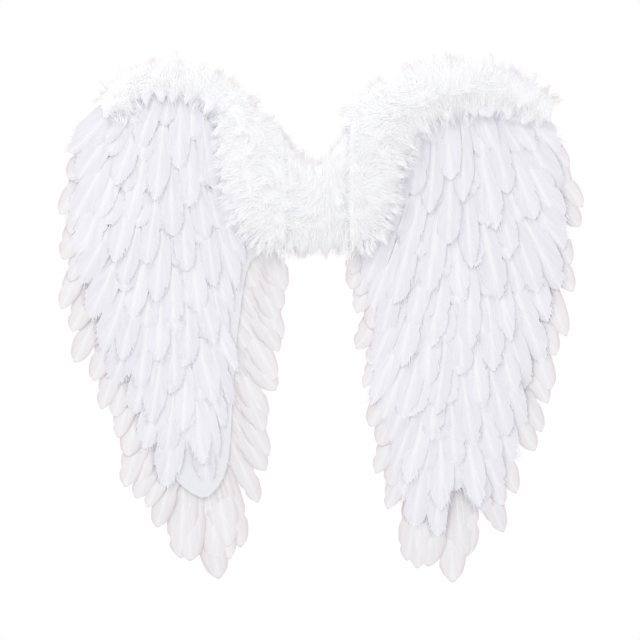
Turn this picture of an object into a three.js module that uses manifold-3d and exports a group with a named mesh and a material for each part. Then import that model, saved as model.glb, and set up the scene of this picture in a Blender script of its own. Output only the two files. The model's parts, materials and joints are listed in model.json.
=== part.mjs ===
// A pair of white feathered costume wings joined by a centre panel.
// Millimetres, +Z up. The feathered face looks along -Y and the wearer's back is at +Y.
// The origin is the middle of the centre panel's rear face.
import Module from 'manifold-3d';
import * as THREE from 'three';
import { mergeVertices } from 'three/addons/utils/BufferGeometryUtils.js';

const wasm = await Module();
wasm.setup();

// Overall sizes that the tables below give shares of
const wingReach = 325;          // middle of the pair to the outermost feather tip
const wingHeight = 655;         // top of the down trim to the lowest feather tip
const sweepAngle = THREE.MathUtils.degToRad(6); // lean of each wing away from the wearer

// Panel, boards and the play between neighbours
const panelWidth = 88;
const panelHeight = 104;
const panelThickness = 4;
const boardThickness = 2.5;
const clearance = 0.3;
const mergeTolerance = 0.02;    // finest detail kept where solids are joined
const weldDistance = 1e-4;      // corners closer than this are one

// Feathers and the tape that a row is glued to
const bladeThickness = 1.5;     // a row of overlapping blades
const rightCovertLength = 104;
const leftCovertLength = 88;
const covertWidth = 31;
const fringeWidth = 30;
const tipFeatherWidth = 40;
const tapeWidth = 9;
const rowPlay = 0.8;            // air between one row of coverts and the next
const shingleAngle = THREE.MathUtils.degToRad(20); // rows shingle down and this far outwards
const tipVariation = 0.06;      // share of a covert's length by which tips differ
const underTrim = 0.34;         // share by which every other covert stays shorter, half hidden
const betweenTrim = 0.08;       // share by which the feather between two listed ones is shorter

// Down trim and the locks that stand out of it
const downHeight = 30;
const downHalfWidth = 60;
const wingRollSteps = 14;       // sections along a wing's trim
const centreRollSteps = 7;
const lockRadius = 11;
const lockLength = 27;
const lockSides = 4;
const lockSink = 0.2;           // share of a lock's length below its base point
const lockRows = [-0.95, -0.1, 0.95]; // places across the trim, as shares of its half width
const lockInset = 0.85;         // how far those places are drawn in
const lockScatter = 0.4;        // how far a lock strays from the middle of its stretch
const lockSeat = 0.8;           // share of the trim's height at which the middle locks sit
const lockSeatFall = 0.7;       // how much lower the outer ones sit
const lockSplay = 1.4;          // how far locks point to the trim's edges
const lockSway = 0.5;           // how far one points along the trim
const lockDroop = 0.35;         // and how far down
const lockForward = [0.25, 0.7]; // how far forward at the trim's edges, and in its middle

// Elastic shoulder loops
const strapWidth = 20;
const strapThickness = 1.5;
const strapSpacing = 48;        // between the middles of the two loops
const strapDepth = 115;         // how far a loop stands off the panel
const strapHeight = 96;
const strapSegments = 14;

// Board outline from its top inner corner outwards and round, as shares of reach and height
const boardOutline = [
  [0.300, 0.206], [0.377, 0.231], [0.454, 0.246], [0.608, 0.253], [0.760, 0.223],
  [0.846, 0.162], [0.883, 0.085], [0.884, -0.010], [0.858, -0.105], [0.800, -0.220],
  [0.723, -0.334], [0.646, -0.429], [0.588, -0.496], [0.523, -0.537], [0.446, -0.559],
  [0.397, -0.544], [0.362, -0.515], [0.342, -0.467], [0.331, -0.373], [0.315, -0.258],
  [0.300, -0.200], [0.289, -0.156], [0.262, -0.108], [0.197, -0.086],
];

// Rows of covert feathers, top row first. Tips as shares of reach and height, the sag of
// a row's middle as a share of height, leans in degrees from straight down, outwards positive.
const covertColumns = ['innerX', 'innerZ', 'outerX', 'outerZ', 'sag', 'innerLean', 'outerLean', 'count'];
const rightCoverts = [
  [0.190, -0.064, 0.920, 0.082, -0.055, -22, 38, 10],
  [0.178, -0.118, 0.935, 0.018, -0.046, -21, 32, 10],
  [0.182, -0.168, 0.942, -0.045, -0.037, -20, 28, 10],
  [0.195, -0.220, 0.935, -0.110, -0.026, -20, 26, 10],
  [0.208, -0.272, 0.925, -0.174, -0.017, -20, 24, 10],
  [0.220, -0.324, 0.905, -0.240, -0.009, -20, 22, 10],
  [0.228, -0.377, 0.872, -0.306, -0.003, -20, 21, 9],
  [0.240, -0.430, 0.838, -0.370, 0.003, -20, 20, 9],
  [0.258, -0.482, 0.795, -0.434, 0.008, -19, 18, 8],
  [0.283, -0.534, 0.745, -0.496, 0.011, -17, 17, 7],
  [0.314, -0.586, 0.685, -0.556, 0.012, -14, 15, 6],
  [0.357, -0.636, 0.625, -0.612, 0.012, -10, 12, 4],
];
const leftCoverts = [
  [0.262, -0.030, 0.925, 0.092, -0.046, -20, 38, 10],
  [0.262, -0.080, 0.942, 0.026, -0.038, -20, 32, 10],
  [0.292, -0.130, 0.945, -0.038, -0.031, -17, 28, 10],
  [0.316, -0.181, 0.930, -0.104, -0.023, -14, 25, 10],
  [0.330, -0.232, 0.905, -0.168, -0.015, -14, 22, 9],
  [0.338, -0.285, 0.872, -0.232, -0.009, -14, 20, 8],
  [0.345, -0.338, 0.832, -0.294, -0.003, -14, 18, 8],
  [0.352, -0.392, 0.782, -0.355, 0.002, -14, 17, 7],
  [0.363, -0.445, 0.722, -0.415, 0.005, -13, 15, 6],
  [0.385, -0.497, 0.655, -0.472, 0.006, -12, 13, 5],
  [0.425, -0.546, 0.590, -0.530, 0.006, -8, 9, 3],
];

// Fringe feathers that stand out behind a board's rim: roots and tips as shares
const fringeColumns = ['rootX', 'rootZ', 'tipX', 'tipZ'];
const rightOuterFringe = [
  [0.769, 0.177, 0.958, 0.063], [0.823, 0.124, 1.000, -0.013], [0.831, 0.038, 0.985, -0.113],
  [0.823, -0.090, 0.958, -0.252], [0.769, -0.193, 0.908, -0.349], [0.719, -0.281, 0.865, -0.433],
  [0.646, -0.382, 0.777, -0.546], [0.585, -0.460, 0.696, -0.628],
];
const rightInnerFringe = [
  [0.208, -0.013, 0.119, -0.128], [0.231, -0.032, 0.131, -0.162], [0.269, -0.063, 0.150, -0.206],
  [0.323, -0.139, 0.177, -0.284], [0.338, -0.204, 0.188, -0.353], [0.354, -0.277, 0.185, -0.422],
  [0.365, -0.357, 0.227, -0.513], [0.377, -0.429, 0.269, -0.582],
];
const rightTipFringe = [
  [0.538, -0.490, 0.585, -0.670], [0.500, -0.483, 0.481, -0.721],
  [0.446, -0.490, 0.400, -0.697], [0.400, -0.490, 0.346, -0.681],
];
const leftOuterFringe = [
  [0.769, 0.177, 0.942, 0.090], [0.823, 0.124, 0.992, -0.021], [0.831, 0.038, 0.969, -0.109],
  [0.831, -0.044, 0.988, -0.202], [0.792, -0.151, 0.931, -0.303], [0.731, -0.231, 0.846, -0.387],
  [0.685, -0.288, 0.792, -0.443], [0.635, -0.376, 0.758, -0.536], [0.577, -0.426, 0.673, -0.567],
  [0.538, -0.464, 0.612, -0.616],
];
const leftInnerFringe = [
  [0.223, -0.038, 0.131, -0.158], [0.254, -0.063, 0.131, -0.200], [0.292, -0.109, 0.150, -0.261],
  [0.331, -0.189, 0.158, -0.334], [0.346, -0.261, 0.188, -0.410], [0.354, -0.334, 0.188, -0.483],
  [0.369, -0.418, 0.215, -0.565],
];
const leftTipFringe = [
  [0.515, -0.483, 0.542, -0.677], [0.469, -0.487, 0.415, -0.721],
  [0.423, -0.490, 0.346, -0.681], [0.385, -0.483, 0.277, -0.653],
];

// Down trim along a wing's leading edge: middle line as shares of reach and height,
// half width and height as shares of downHalfWidth and downHeight
const downColumns = ['x', 'z', 'halfWidth', 'height'];
const rightDownSections = [
  [0.054, -0.004, 0.92, 0.93], [0.115, 0.004, 0.92, 0.97], [0.154, 0.040, 0.79, 1.00],
  [0.192, 0.101, 0.79, 1.00], [0.246, 0.155, 0.75, 1.00], [0.346, 0.195, 0.65, 0.93],
  [0.462, 0.221, 0.56, 0.87], [0.588, 0.229, 0.50, 0.80], [0.696, 0.218, 0.42, 0.67],
  [0.800, 0.198, 0.33, 0.53], [0.885, 0.172, 0.23, 0.40],
];
const leftDownSections = [
  [0.054, -0.004, 0.92, 0.93], [0.131, 0.000, 0.92, 0.97], [0.192, 0.029, 0.88, 1.00],
  [0.231, 0.076, 0.79, 0.97], [0.269, 0.124, 0.65, 0.87], [0.300, 0.158, 0.46, 0.67],
  [0.354, 0.204, 0.31, 0.40], [0.481, 0.235, 0.31, 0.27], [0.615, 0.242, 0.31, 0.23],
  [0.731, 0.219, 0.27, 0.23], [0.815, 0.181, 0.19, 0.20],
];

// Down over the panel, from side to side: shares of the panel's half width and half height,
// then the height as a share of downHeight
const centreDownSections = [
  [-1.1, 0.38, 1.42, 0.93], [-0.6, 0.06, 1.13, 1.00], [0, -0.04, 1.00, 1.00],
  [0.5, 0.17, 1.21, 1.00], [1.1, 0.60, 1.63, 0.93],
];

// Half outline of a feather blade: share of its length, share of its half width
const bladeProfile = [[0, 0.8], [0.45, 1], [0.78, 0.88], [0.94, 0.48], [1, 0]];

// Section of the down trim: place across and height, as shares
const downProfile = [[-1, 0], [-0.8, 0.6], [-0.3, 1], [0.3, 1], [0.8, 0.6], [1, 0]];

const pivotX = panelWidth / 2 + clearance + panelThickness * Math.sin(sweepAngle);

const featherMaterial = new THREE.MeshStandardMaterial({ color: 0xf6f7fa, roughness: 0.85 });
const downMaterial = new THREE.MeshStandardMaterial({ color: 0xfbfbfd, roughness: 1 });
const feltMaterial = new THREE.MeshStandardMaterial({ color: 0xf2f3f6, roughness: 0.95 });
const elasticMaterial = new THREE.MeshStandardMaterial({ color: 0xf0f0f2, roughness: 0.8 });

// Names the columns of a table's rows
function namedRows(columns, rows) {
  return rows.map((row) => Object.fromEntries(columns.map((column, i) => [column, row[i]])));
}

// A steady irregularity between -1 and 1 for the item numbered i
function vary(i) {
  return Math.sin(i * 2.4 + 0.7);
}

function solidFrom(geometry) {
  const bare = geometry.clone();
  bare.deleteAttribute('normal');
  bare.deleteAttribute('uv');
  const merged = mergeVertices(bare, weldDistance);
  return new wasm.Manifold(new wasm.Mesh({
    numProp: 3,
    vertProperties: Float32Array.from(merged.attributes.position.array),
    triVerts: Uint32Array.from(merged.index.array),
  }));
}

function geometryFrom(solid) {
  const mesh = solid.getMesh();
  const geometry = new THREE.BufferGeometry();
  geometry.setAttribute('position', new THREE.BufferAttribute(mesh.vertProperties, 3));
  geometry.setIndex(new THREE.BufferAttribute(mesh.triVerts, 1));
  return geometry;
}

function joined(solids) {
  return solids.reduce((whole, solid) => whole.add(solid));
}

// The main body of a cut or joined solid, with the flat faces left whole and no crumbs
function cleaned(solid) {
  const bodies = solid.asOriginal().simplify(mergeTolerance).decompose();
  return bodies.reduce((main, body) => (body.volume() > main.volume() ? body : main));
}

// A plate with its outline in the XZ plane and its thickness towards the feathered face
function plate(outline, thickness) {
  const geometry = new THREE.ExtrudeGeometry(new THREE.Shape(outline), {
    depth: thickness, bevelEnabled: false,
  });
  const turn = new THREE.Matrix4().makeBasis(
    new THREE.Vector3(1, 0, 0), new THREE.Vector3(0, 0, 1), new THREE.Vector3(0, -1, 0));
  return geometry.applyMatrix4(turn);
}

function featherOutline(root, tip, width) {
  const along = tip.clone().sub(root);
  const across = new THREE.Vector2(-along.y, along.x).setLength(width / 2);
  const edge = (side) => bladeProfile.map(([length, half]) => root.clone()
    .addScaledVector(along, length)
    .addScaledVector(across, half * side));
  return [...edge(1), ...edge(-1).slice(0, -1).reverse()];
}

function tapeOutline(line) {
  const edge = (side) => line.map((point, i) => {
    const along = line[Math.min(i + 1, line.length - 1)].clone().sub(line[Math.max(i - 1, 0)]);
    return point.clone().add(new THREE.Vector2(-along.y, along.x).setLength(side * tapeWidth / 2));
  });
  return [...edge(1), ...edge(-1).reverse()];
}

// Blades fused to the tape that runs through their roots
function featherRow(feathers) {
  const blades = feathers.map(({ root, tip, width }) => solidFrom(
    plate(featherOutline(root, tip, width), bladeThickness)));
  const tape = plate(tapeOutline(feathers.map(({ root }) => root)), bladeThickness);
  return cleaned(joined([solidFrom(tape), ...blades]));
}

// The feathers of the row with the given number; those half hidden alternate from row to row
function covertFeathers(row, length, number) {
  return Array.from({ length: row.count }, (_, i) => {
    const t = i / (row.count - 1);
    const bow = 4 * t * (1 - t);
    const lean = THREE.MathUtils.degToRad(
      THREE.MathUtils.lerp(row.innerLean, row.outerLean, t));
    const down = new THREE.Vector2(Math.sin(lean), -Math.cos(lean));
    const tip = new THREE.Vector2(
      THREE.MathUtils.lerp(row.innerX, row.outerX, t) * wingReach,
      (THREE.MathUtils.lerp(row.innerZ, row.outerZ, t) - row.sag * bow) * wingHeight);
    const root = tip.clone().addScaledVector(down, -length);
    const under = (i + number) % 2 === 1 && i > 0 && i < row.count - 1;
    const trim = length * (under ? -underTrim : tipVariation * vary(i + row.outerLean));
    return { root, tip: tip.addScaledVector(down, trim), width: covertWidth };
  });
}

// A listed feather at each row of the table and a slightly shorter one between each two
function fringeFeathers(rows, width) {
  const listed = rows.map((row) => ({
    root: new THREE.Vector2(row.rootX * wingReach, row.rootZ * wingHeight),
    tip: new THREE.Vector2(row.tipX * wingReach, row.tipZ * wingHeight),
    width,
  }));
  return listed.flatMap((feather, i) => {
    if (i === listed.length - 1) {
      return [feather];
    }
    const next = listed[i + 1];
    const root = feather.root.clone().lerp(next.root, 0.5);
    const tip = feather.tip.clone().lerp(next.tip, 0.5).lerp(root, betweenTrim);
    return [feather, { root, tip, width }];
  });
}

// How far down the shingled face a point lies
function fall(x, z) {
  return x * Math.sin(shingleAngle) - z * Math.cos(shingleAngle);
}

function topFall(solid) {
  const points = solid.getMesh().vertProperties;
  let top = Infinity;
  for (let i = 0; i < points.length; i += 3) {
    top = Math.min(top, fall(points[i], points[i + 2]));
  }
  return top;
}

// Lifts each vertex off the board by what liftAt gives for its fall
function lifted(solid, liftAt) {
  const geometry = geometryFrom(solid);
  const position = geometry.attributes.position;
  for (let i = 0; i < position.count; i += 1) {
    const lift = liftAt(fall(position.getX(i), position.getZ(i)));
    position.setY(i, position.getY(i) - boardThickness - clearance - lift);
  }
  return geometry;
}

// The body of arched sections that stand side by side along a line
function archedCore(sections) {
  const corners = ({ centre, across, halfWidth, height }) => downProfile.map(([side, rise]) => [
    centre.x + across.x * side * halfWidth,
    -rise * height,
    centre.y + across.y * side * halfWidth,
  ]);
  return joined(sections.slice(0, -1).map((section, i) => (
    wasm.Manifold.hull([...corners(section), ...corners(sections[i + 1])]))));
}

// A pointed tuft whose base is sunk in the trim
function lock(base, direction) {
  const cone = new THREE.ConeGeometry(lockRadius, lockLength, lockSides)
    .translate(0, lockLength * (0.5 - lockSink), 0);
  const turn = new THREE.Quaternion().setFromUnitVectors(
    new THREE.Vector3(0, 1, 0), direction.clone().normalize());
  return cone.applyQuaternion(turn).translate(base.x, base.y, base.z);
}

function sectionsAlong(points, count) {
  const line = new THREE.SplineCurve(points.map(({ centre }) => centre));
  return Array.from({ length: count }, (_, i) => {
    const t = i / (count - 1);
    const place = t * (points.length - 1);
    const from = points[Math.min(Math.floor(place), points.length - 2)];
    const to = points[Math.min(Math.floor(place) + 1, points.length - 1)];
    const blend = place - points.indexOf(from);
    const tangent = line.getTangent(t);
    return {
      centre: line.getPoint(t),
      across: new THREE.Vector2(-tangent.y, tangent.x),
      halfWidth: THREE.MathUtils.lerp(from.halfWidth, to.halfWidth, blend),
      height: THREE.MathUtils.lerp(from.height, to.height, blend),
    };
  });
}

// The locks between two neighbouring sections of the trim, one in each row across it
function locksBetween(section, next, number) {
  const { across, halfWidth, height } = section;
  return lockRows.map((side, j) => {
    const share = 0.5 + lockScatter * vary(number * lockRows.length + j);
    const centre = section.centre.clone().lerp(next.centre, share);
    const offset = side * halfWidth * lockInset;
    const rise = height * (1 - side * side * lockSeatFall) * lockSeat;
    const base = new THREE.Vector3(
      centre.x + across.x * offset, -rise, centre.y + across.y * offset);
    const forward = THREE.MathUtils.lerp(lockForward[1], lockForward[0], Math.abs(side));
    const direction = new THREE.Vector3(
      across.x * side * lockSplay + lockSway * vary(number + j),
      -forward * height / downHeight,
      across.y * side * lockSplay - lockDroop);
    return solidFrom(lock(base, direction));
  });
}

// Flat-backed roll of down: an arched core with rows of locks fused over it
function downRoll(sections) {
  const locks = sections.slice(0, -1)
    .flatMap((section, i) => locksBetween(section, sections[i + 1], i));
  const space = new THREE.BoxGeometry(wingReach * 4, wingReach, wingHeight * 4)
    .translate(0, -wingReach / 2, 0);
  return joined([archedCore(sections), ...locks]).intersect(solidFrom(space));
}

function downPoints(rows) {
  return rows.map((row) => ({
    centre: new THREE.Vector2(row.x * wingReach, row.z * wingHeight),
    halfWidth: row.halfWidth * downHalfWidth,
    height: row.height * downHeight,
  }));
}

// The space of one wing, outside the plane where it meets the panel
function wingSpace(play) {
  return new THREE.BoxGeometry(wingReach * 2, wingReach * 2, wingHeight * 4)
    .translate(pivotX - play + wingReach, 0, 0);
}

function boardGeometry() {
  const corner = panelHeight / 2;
  const rim = boardOutline.map(([x, z]) => new THREE.Vector2(x * wingReach, z * wingHeight));
  const curve = new THREE.SplineCurve(rim).getPoints(rim.length * 2);
  const outline = [new THREE.Vector2(pivotX, corner), ...curve, new THREE.Vector2(pivotX, -corner)];
  return plate(outline, boardThickness);
}

function strapGeometry() {
  const half = strapHeight / 2;
  const loop = new THREE.Shape();
  loop.absellipse(0, 0, strapDepth, half, -Math.PI / 2, Math.PI / 2, false, 0);
  const hole = new THREE.Path();
  hole.absellipse(strapThickness, 0, strapDepth - 2 * strapThickness, half - strapThickness,
    -Math.PI / 2, Math.PI / 2, false, 0);
  loop.holes.push(hole);
  const geometry = new THREE.ExtrudeGeometry(loop, {
    depth: strapWidth, bevelEnabled: false, curveSegments: strapSegments,
  });
  // Depth of the loop along +Y, its height along Z and its width along X
  const turn = new THREE.Matrix4().makeBasis(
    new THREE.Vector3(0, 1, 0), new THREE.Vector3(0, 0, 1), new THREE.Vector3(1, 0, 0));
  return geometry.applyMatrix4(turn).translate(0, clearance, 0);
}

// Turns a wing modelled on the +X side into the one for the given side
function sided(geometry, side) {
  geometry.translate(-pivotX, 0, 0);
  if (side > 0) {
    return geometry;
  }
  const flipped = (geometry.index ? geometry.toNonIndexed() : geometry.clone()).scale(-1, 1, 1);
  const points = flipped.attributes.position.array;
  for (let i = 0; i < points.length; i += 9) {
    for (let k = 0; k < 3; k += 1) {
      [points[i + 3 + k], points[i + 6 + k]] = [points[i + 6 + k], points[i + 3 + k]];
    }
  }
  return flipped;
}

function shaded(geometry) {
  const loose = geometry.index ? geometry.toNonIndexed() : geometry;
  loose.computeVertexNormals();
  return loose;
}

function addMesh(group, name, geometry, material) {
  const mesh = new THREE.Mesh(shaded(geometry), material);
  mesh.name = name;
  group.add(mesh);
  return mesh;
}

function buildWing(name, side, tables) {
  const wing = new THREE.Group();
  wing.position.x = side * pivotX;
  wing.rotation.z = -side * sweepAngle;
  const add = (piece, geometry, material) => addMesh(
    wing, `${name}_${piece}`, sided(geometry, side), material);

  add('board', boardGeometry(), feltMaterial);

  const coverts = namedRows(covertColumns, tables.coverts)
    .map((row, i) => featherRow(covertFeathers(row, tables.covertLength, i)));
  const tops = coverts.map(topFall);
  const closest = Math.min(...tops.slice(1).map((top, i) => top - tops[i]));
  const slope = (bladeThickness + rowPlay) / closest;
  coverts.forEach((row, i) => {
    add(`covert_${i + 1}`, lifted(row, (at) => (at - tops[i]) * slope), featherMaterial);
  });

  const line = downPoints(namedRows(downColumns, tables.down));
  const roll = downRoll(sectionsAlong(line, wingRollSteps)).intersect(solidFrom(wingSpace(0)));
  const seat = (at) => Math.max(0, bladeThickness + clearance + (at - tops[0]) * slope);
  add('down', lifted(cleaned(roll), seat), downMaterial);

  const behind = clearance + bladeThickness;
  const fringe = (piece, rows, width, layer) => add(piece,
    geometryFrom(featherRow(fringeFeathers(namedRows(fringeColumns, rows), width)))
      .translate(0, behind * (layer + 1), 0), featherMaterial);
  fringe('outer_fringe', tables.outer, fringeWidth, 0);
  fringe('inner_fringe', tables.inner, fringeWidth, 0);
  fringe('tip_fringe', tables.tip, tipFeatherWidth, 1);
  return wing;
}

function centreDown() {
  const points = namedRows(downColumns, centreDownSections).map((row) => ({
    centre: new THREE.Vector2(row.x * panelWidth / 2, row.z * panelHeight / 2),
    halfWidth: row.halfWidth * panelHeight / 2,
    height: row.height * downHeight,
  }));
  const ends = [1, -1].map((side) => solidFrom(sided(wingSpace(clearance), side)
    .rotateZ(-side * sweepAngle)
    .translate(side * pivotX, panelThickness + clearance, 0)));
  const sections = sectionsAlong(points, centreRollSteps)
    .map((section) => ({ ...section, across: new THREE.Vector2(0, 1) }));
  const roll = downRoll(sections);
  return geometryFrom(cleaned(roll.subtract(ends[0]).subtract(ends[1])));
}

function buildWings() {
  const wings = new THREE.Group();
  const outline = [[-1, -1], [1, -1], [1, 1], [-1, 1]].map(([x, z]) => (
    new THREE.Vector2(x * panelWidth / 2, z * panelHeight / 2)));
  addMesh(wings, 'centre_panel', plate(outline, panelThickness), feltMaterial);
  addMesh(wings, 'centre_down', centreDown(), downMaterial)
    .position.y = -panelThickness - clearance;
  for (const [name, side] of [['left_strap', -1], ['right_strap', 1]]) {
    addMesh(wings, name, strapGeometry(), elasticMaterial)
      .position.x = side * strapSpacing / 2 - strapWidth / 2;
  }
  wings.add(buildWing('left', -1, {
    coverts: leftCoverts, covertLength: leftCovertLength, down: leftDownSections,
    outer: leftOuterFringe, inner: leftInnerFringe, tip: leftTipFringe,
  }));
  wings.add(buildWing('right', 1, {
    coverts: rightCoverts, covertLength: rightCovertLength, down: rightDownSections,
    outer: rightOuterFringe, inner: rightInnerFringe, tip: rightTipFringe,
  }));
  return wings;
}

export default buildWings();
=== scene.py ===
"""White feathered costume wings on felt boards, with down trim and elastic shoulder loops.

Metres, +Z up. The feathered face looks along -Y and the wearer's back is at +Y.
The origin is the middle of the centre panel's rear face.
"""

import json
import logging
import math
from collections.abc import Callable, Sequence
from dataclasses import dataclass
from enum import Enum

import bmesh
import bpy
import numpy as np
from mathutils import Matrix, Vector
from mathutils.bvhtree import BVHTree

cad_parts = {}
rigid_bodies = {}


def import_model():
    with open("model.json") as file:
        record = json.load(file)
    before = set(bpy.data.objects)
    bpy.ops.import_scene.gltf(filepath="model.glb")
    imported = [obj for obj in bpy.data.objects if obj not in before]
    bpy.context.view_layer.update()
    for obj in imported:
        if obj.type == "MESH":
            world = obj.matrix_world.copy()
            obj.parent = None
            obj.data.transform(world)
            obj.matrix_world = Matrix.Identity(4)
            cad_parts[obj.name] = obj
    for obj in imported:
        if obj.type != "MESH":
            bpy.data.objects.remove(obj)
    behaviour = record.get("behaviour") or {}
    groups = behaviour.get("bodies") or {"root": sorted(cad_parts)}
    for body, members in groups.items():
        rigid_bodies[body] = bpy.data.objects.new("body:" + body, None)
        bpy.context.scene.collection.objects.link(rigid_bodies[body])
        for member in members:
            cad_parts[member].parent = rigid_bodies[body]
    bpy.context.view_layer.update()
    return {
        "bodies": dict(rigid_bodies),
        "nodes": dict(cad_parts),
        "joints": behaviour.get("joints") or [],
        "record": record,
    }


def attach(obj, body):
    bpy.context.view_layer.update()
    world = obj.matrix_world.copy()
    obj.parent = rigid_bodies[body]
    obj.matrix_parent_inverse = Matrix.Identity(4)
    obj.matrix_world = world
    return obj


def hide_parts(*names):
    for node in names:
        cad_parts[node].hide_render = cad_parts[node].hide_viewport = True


log = logging.getLogger("wings")

MM = 0.001
BODY = "root"
TOUCH = 0.01 * MM           # places closer together than this count as one

# Sizes of the construction that the looks follow
REACH = 325 * MM            # middle of the pair to the outermost feather tip
HEIGHT = 655 * MM           # top of the down trim to the lowest feather tip
SWEEP = math.radians(6)     # lean of each wing away from the wearer
PANEL_WIDTH = 88 * MM
PANEL_HEIGHT = 104 * MM
PANEL_THICKNESS = 4 * MM
BOARD_THICKNESS = 2.5 * MM
CLEARANCE = 0.3 * MM
BLADE_THICKNESS = 1.5 * MM
ROW_PLAY = 0.8 * MM         # air between one row of coverts and the next
SHINGLE = math.radians(20)  # rows shingle down and this far outwards
BETWEEN_TRIM = 0.08         # share by which the fringe feather between two listed ones is shorter
TIP_VARIATION = 0.06        # share of a covert's length by which tips differ
UNDER_TRIM = 0.48           # share by which every other covert stays shorter, half hidden
END_WIDTH = 1.25            # how much wider than the others a row's outermost covert is
JOINT_LAP = 15 * MM         # how far a wing's loose down reaches over its joint with the panel
PANEL_LAP = 4 * MM          # and how far the centre's reaches over it from the other side
PIVOT_X = PANEL_WIDTH / 2 + CLEARANCE + PANEL_THICKNESS * math.sin(SWEEP)

# One line for each row of coverts: its line of tips runs from the inner to the outer end, as shares
# of REACH and HEIGHT, and sags between them. Leans are in degrees.
COVERT_COLUMNS = (
    "inner_x", "inner_z", "outer_x", "outer_z", "sag", "inner_lean", "outer_lean", "count")
RIGHT_COVERTS = (
    (0.190, -0.064, 0.920, 0.082, -0.055, -22, 38, 10),
    (0.178, -0.118, 0.935, 0.018, -0.046, -21, 32, 10),
    (0.182, -0.168, 0.942, -0.045, -0.037, -20, 28, 10),
    (0.195, -0.220, 0.935, -0.110, -0.026, -20, 26, 10),
    (0.208, -0.272, 0.925, -0.174, -0.017, -20, 24, 10),
    (0.220, -0.324, 0.905, -0.240, -0.009, -20, 22, 10),
    (0.228, -0.377, 0.872, -0.306, -0.003, -20, 21, 9),
    (0.240, -0.430, 0.838, -0.370, 0.003, -20, 20, 9),
    (0.258, -0.482, 0.795, -0.434, 0.008, -19, 18, 8),
    (0.283, -0.534, 0.745, -0.496, 0.011, -17, 17, 7),
    (0.314, -0.586, 0.685, -0.556, 0.012, -14, 15, 6),
    (0.357, -0.636, 0.625, -0.612, 0.012, -10, 12, 4),
)
LEFT_COVERTS = (
    (0.262, -0.030, 0.925, 0.092, -0.046, -20, 38, 10),
    (0.262, -0.080, 0.942, 0.026, -0.038, -20, 32, 10),
    (0.292, -0.130, 0.945, -0.038, -0.031, -17, 28, 10),
    (0.316, -0.181, 0.930, -0.104, -0.023, -14, 25, 10),
    (0.330, -0.232, 0.905, -0.168, -0.015, -14, 22, 9),
    (0.338, -0.285, 0.872, -0.232, -0.009, -14, 20, 8),
    (0.345, -0.338, 0.832, -0.294, -0.003, -14, 18, 8),
    (0.352, -0.392, 0.782, -0.355, 0.002, -14, 17, 7),
    (0.363, -0.445, 0.722, -0.415, 0.005, -13, 15, 6),
    (0.385, -0.497, 0.655, -0.472, 0.006, -12, 13, 5),
    (0.425, -0.546, 0.590, -0.530, 0.006, -8, 9, 3),
)

# Four numbers for each long feather: x and z of its root, then of its tip, as shares of REACH and
# HEIGHT
RIGHT_OUTER = (
    (0.769, 0.177, 0.958, 0.063), (0.823, 0.124, 1.000, -0.013), (0.831, 0.038, 0.985, -0.113),
    (0.823, -0.090, 0.958, -0.252), (0.769, -0.193, 0.908, -0.349), (0.719, -0.281, 0.865, -0.433),
    (0.646, -0.382, 0.777, -0.546), (0.585, -0.460, 0.696, -0.628),
)
RIGHT_INNER = (
    (0.208, -0.013, 0.119, -0.128), (0.231, -0.032, 0.131, -0.162), (0.269, -0.063, 0.150, -0.206),
    (0.323, -0.139, 0.177, -0.284), (0.338, -0.204, 0.188, -0.353), (0.354, -0.277, 0.185, -0.422),
    (0.365, -0.357, 0.227, -0.513), (0.377, -0.429, 0.269, -0.582),
)
RIGHT_TIP = (
    (0.538, -0.490, 0.585, -0.670), (0.500, -0.483, 0.481, -0.721),
    (0.446, -0.490, 0.400, -0.697), (0.400, -0.490, 0.346, -0.681),
)
LEFT_OUTER = (
    (0.769, 0.177, 0.942, 0.090), (0.823, 0.124, 0.992, -0.021), (0.831, 0.038, 0.969, -0.109),
    (0.831, -0.044, 0.988, -0.202), (0.792, -0.151, 0.931, -0.303), (0.731, -0.231, 0.846, -0.387),
    (0.685, -0.288, 0.792, -0.443), (0.635, -0.376, 0.758, -0.536), (0.577, -0.426, 0.673, -0.567),
    (0.538, -0.464, 0.612, -0.616),
)
LEFT_INNER = (
    (0.223, -0.038, 0.131, -0.158), (0.254, -0.063, 0.131, -0.200), (0.292, -0.109, 0.150, -0.261),
    (0.331, -0.189, 0.158, -0.334), (0.346, -0.261, 0.188, -0.410), (0.354, -0.334, 0.188, -0.483),
    (0.369, -0.418, 0.215, -0.565),
)
LEFT_TIP = (
    (0.515, -0.483, 0.542, -0.677), (0.469, -0.487, 0.415, -0.721),
    (0.423, -0.490, 0.346, -0.681), (0.385, -0.483, 0.277, -0.653),
)

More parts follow.
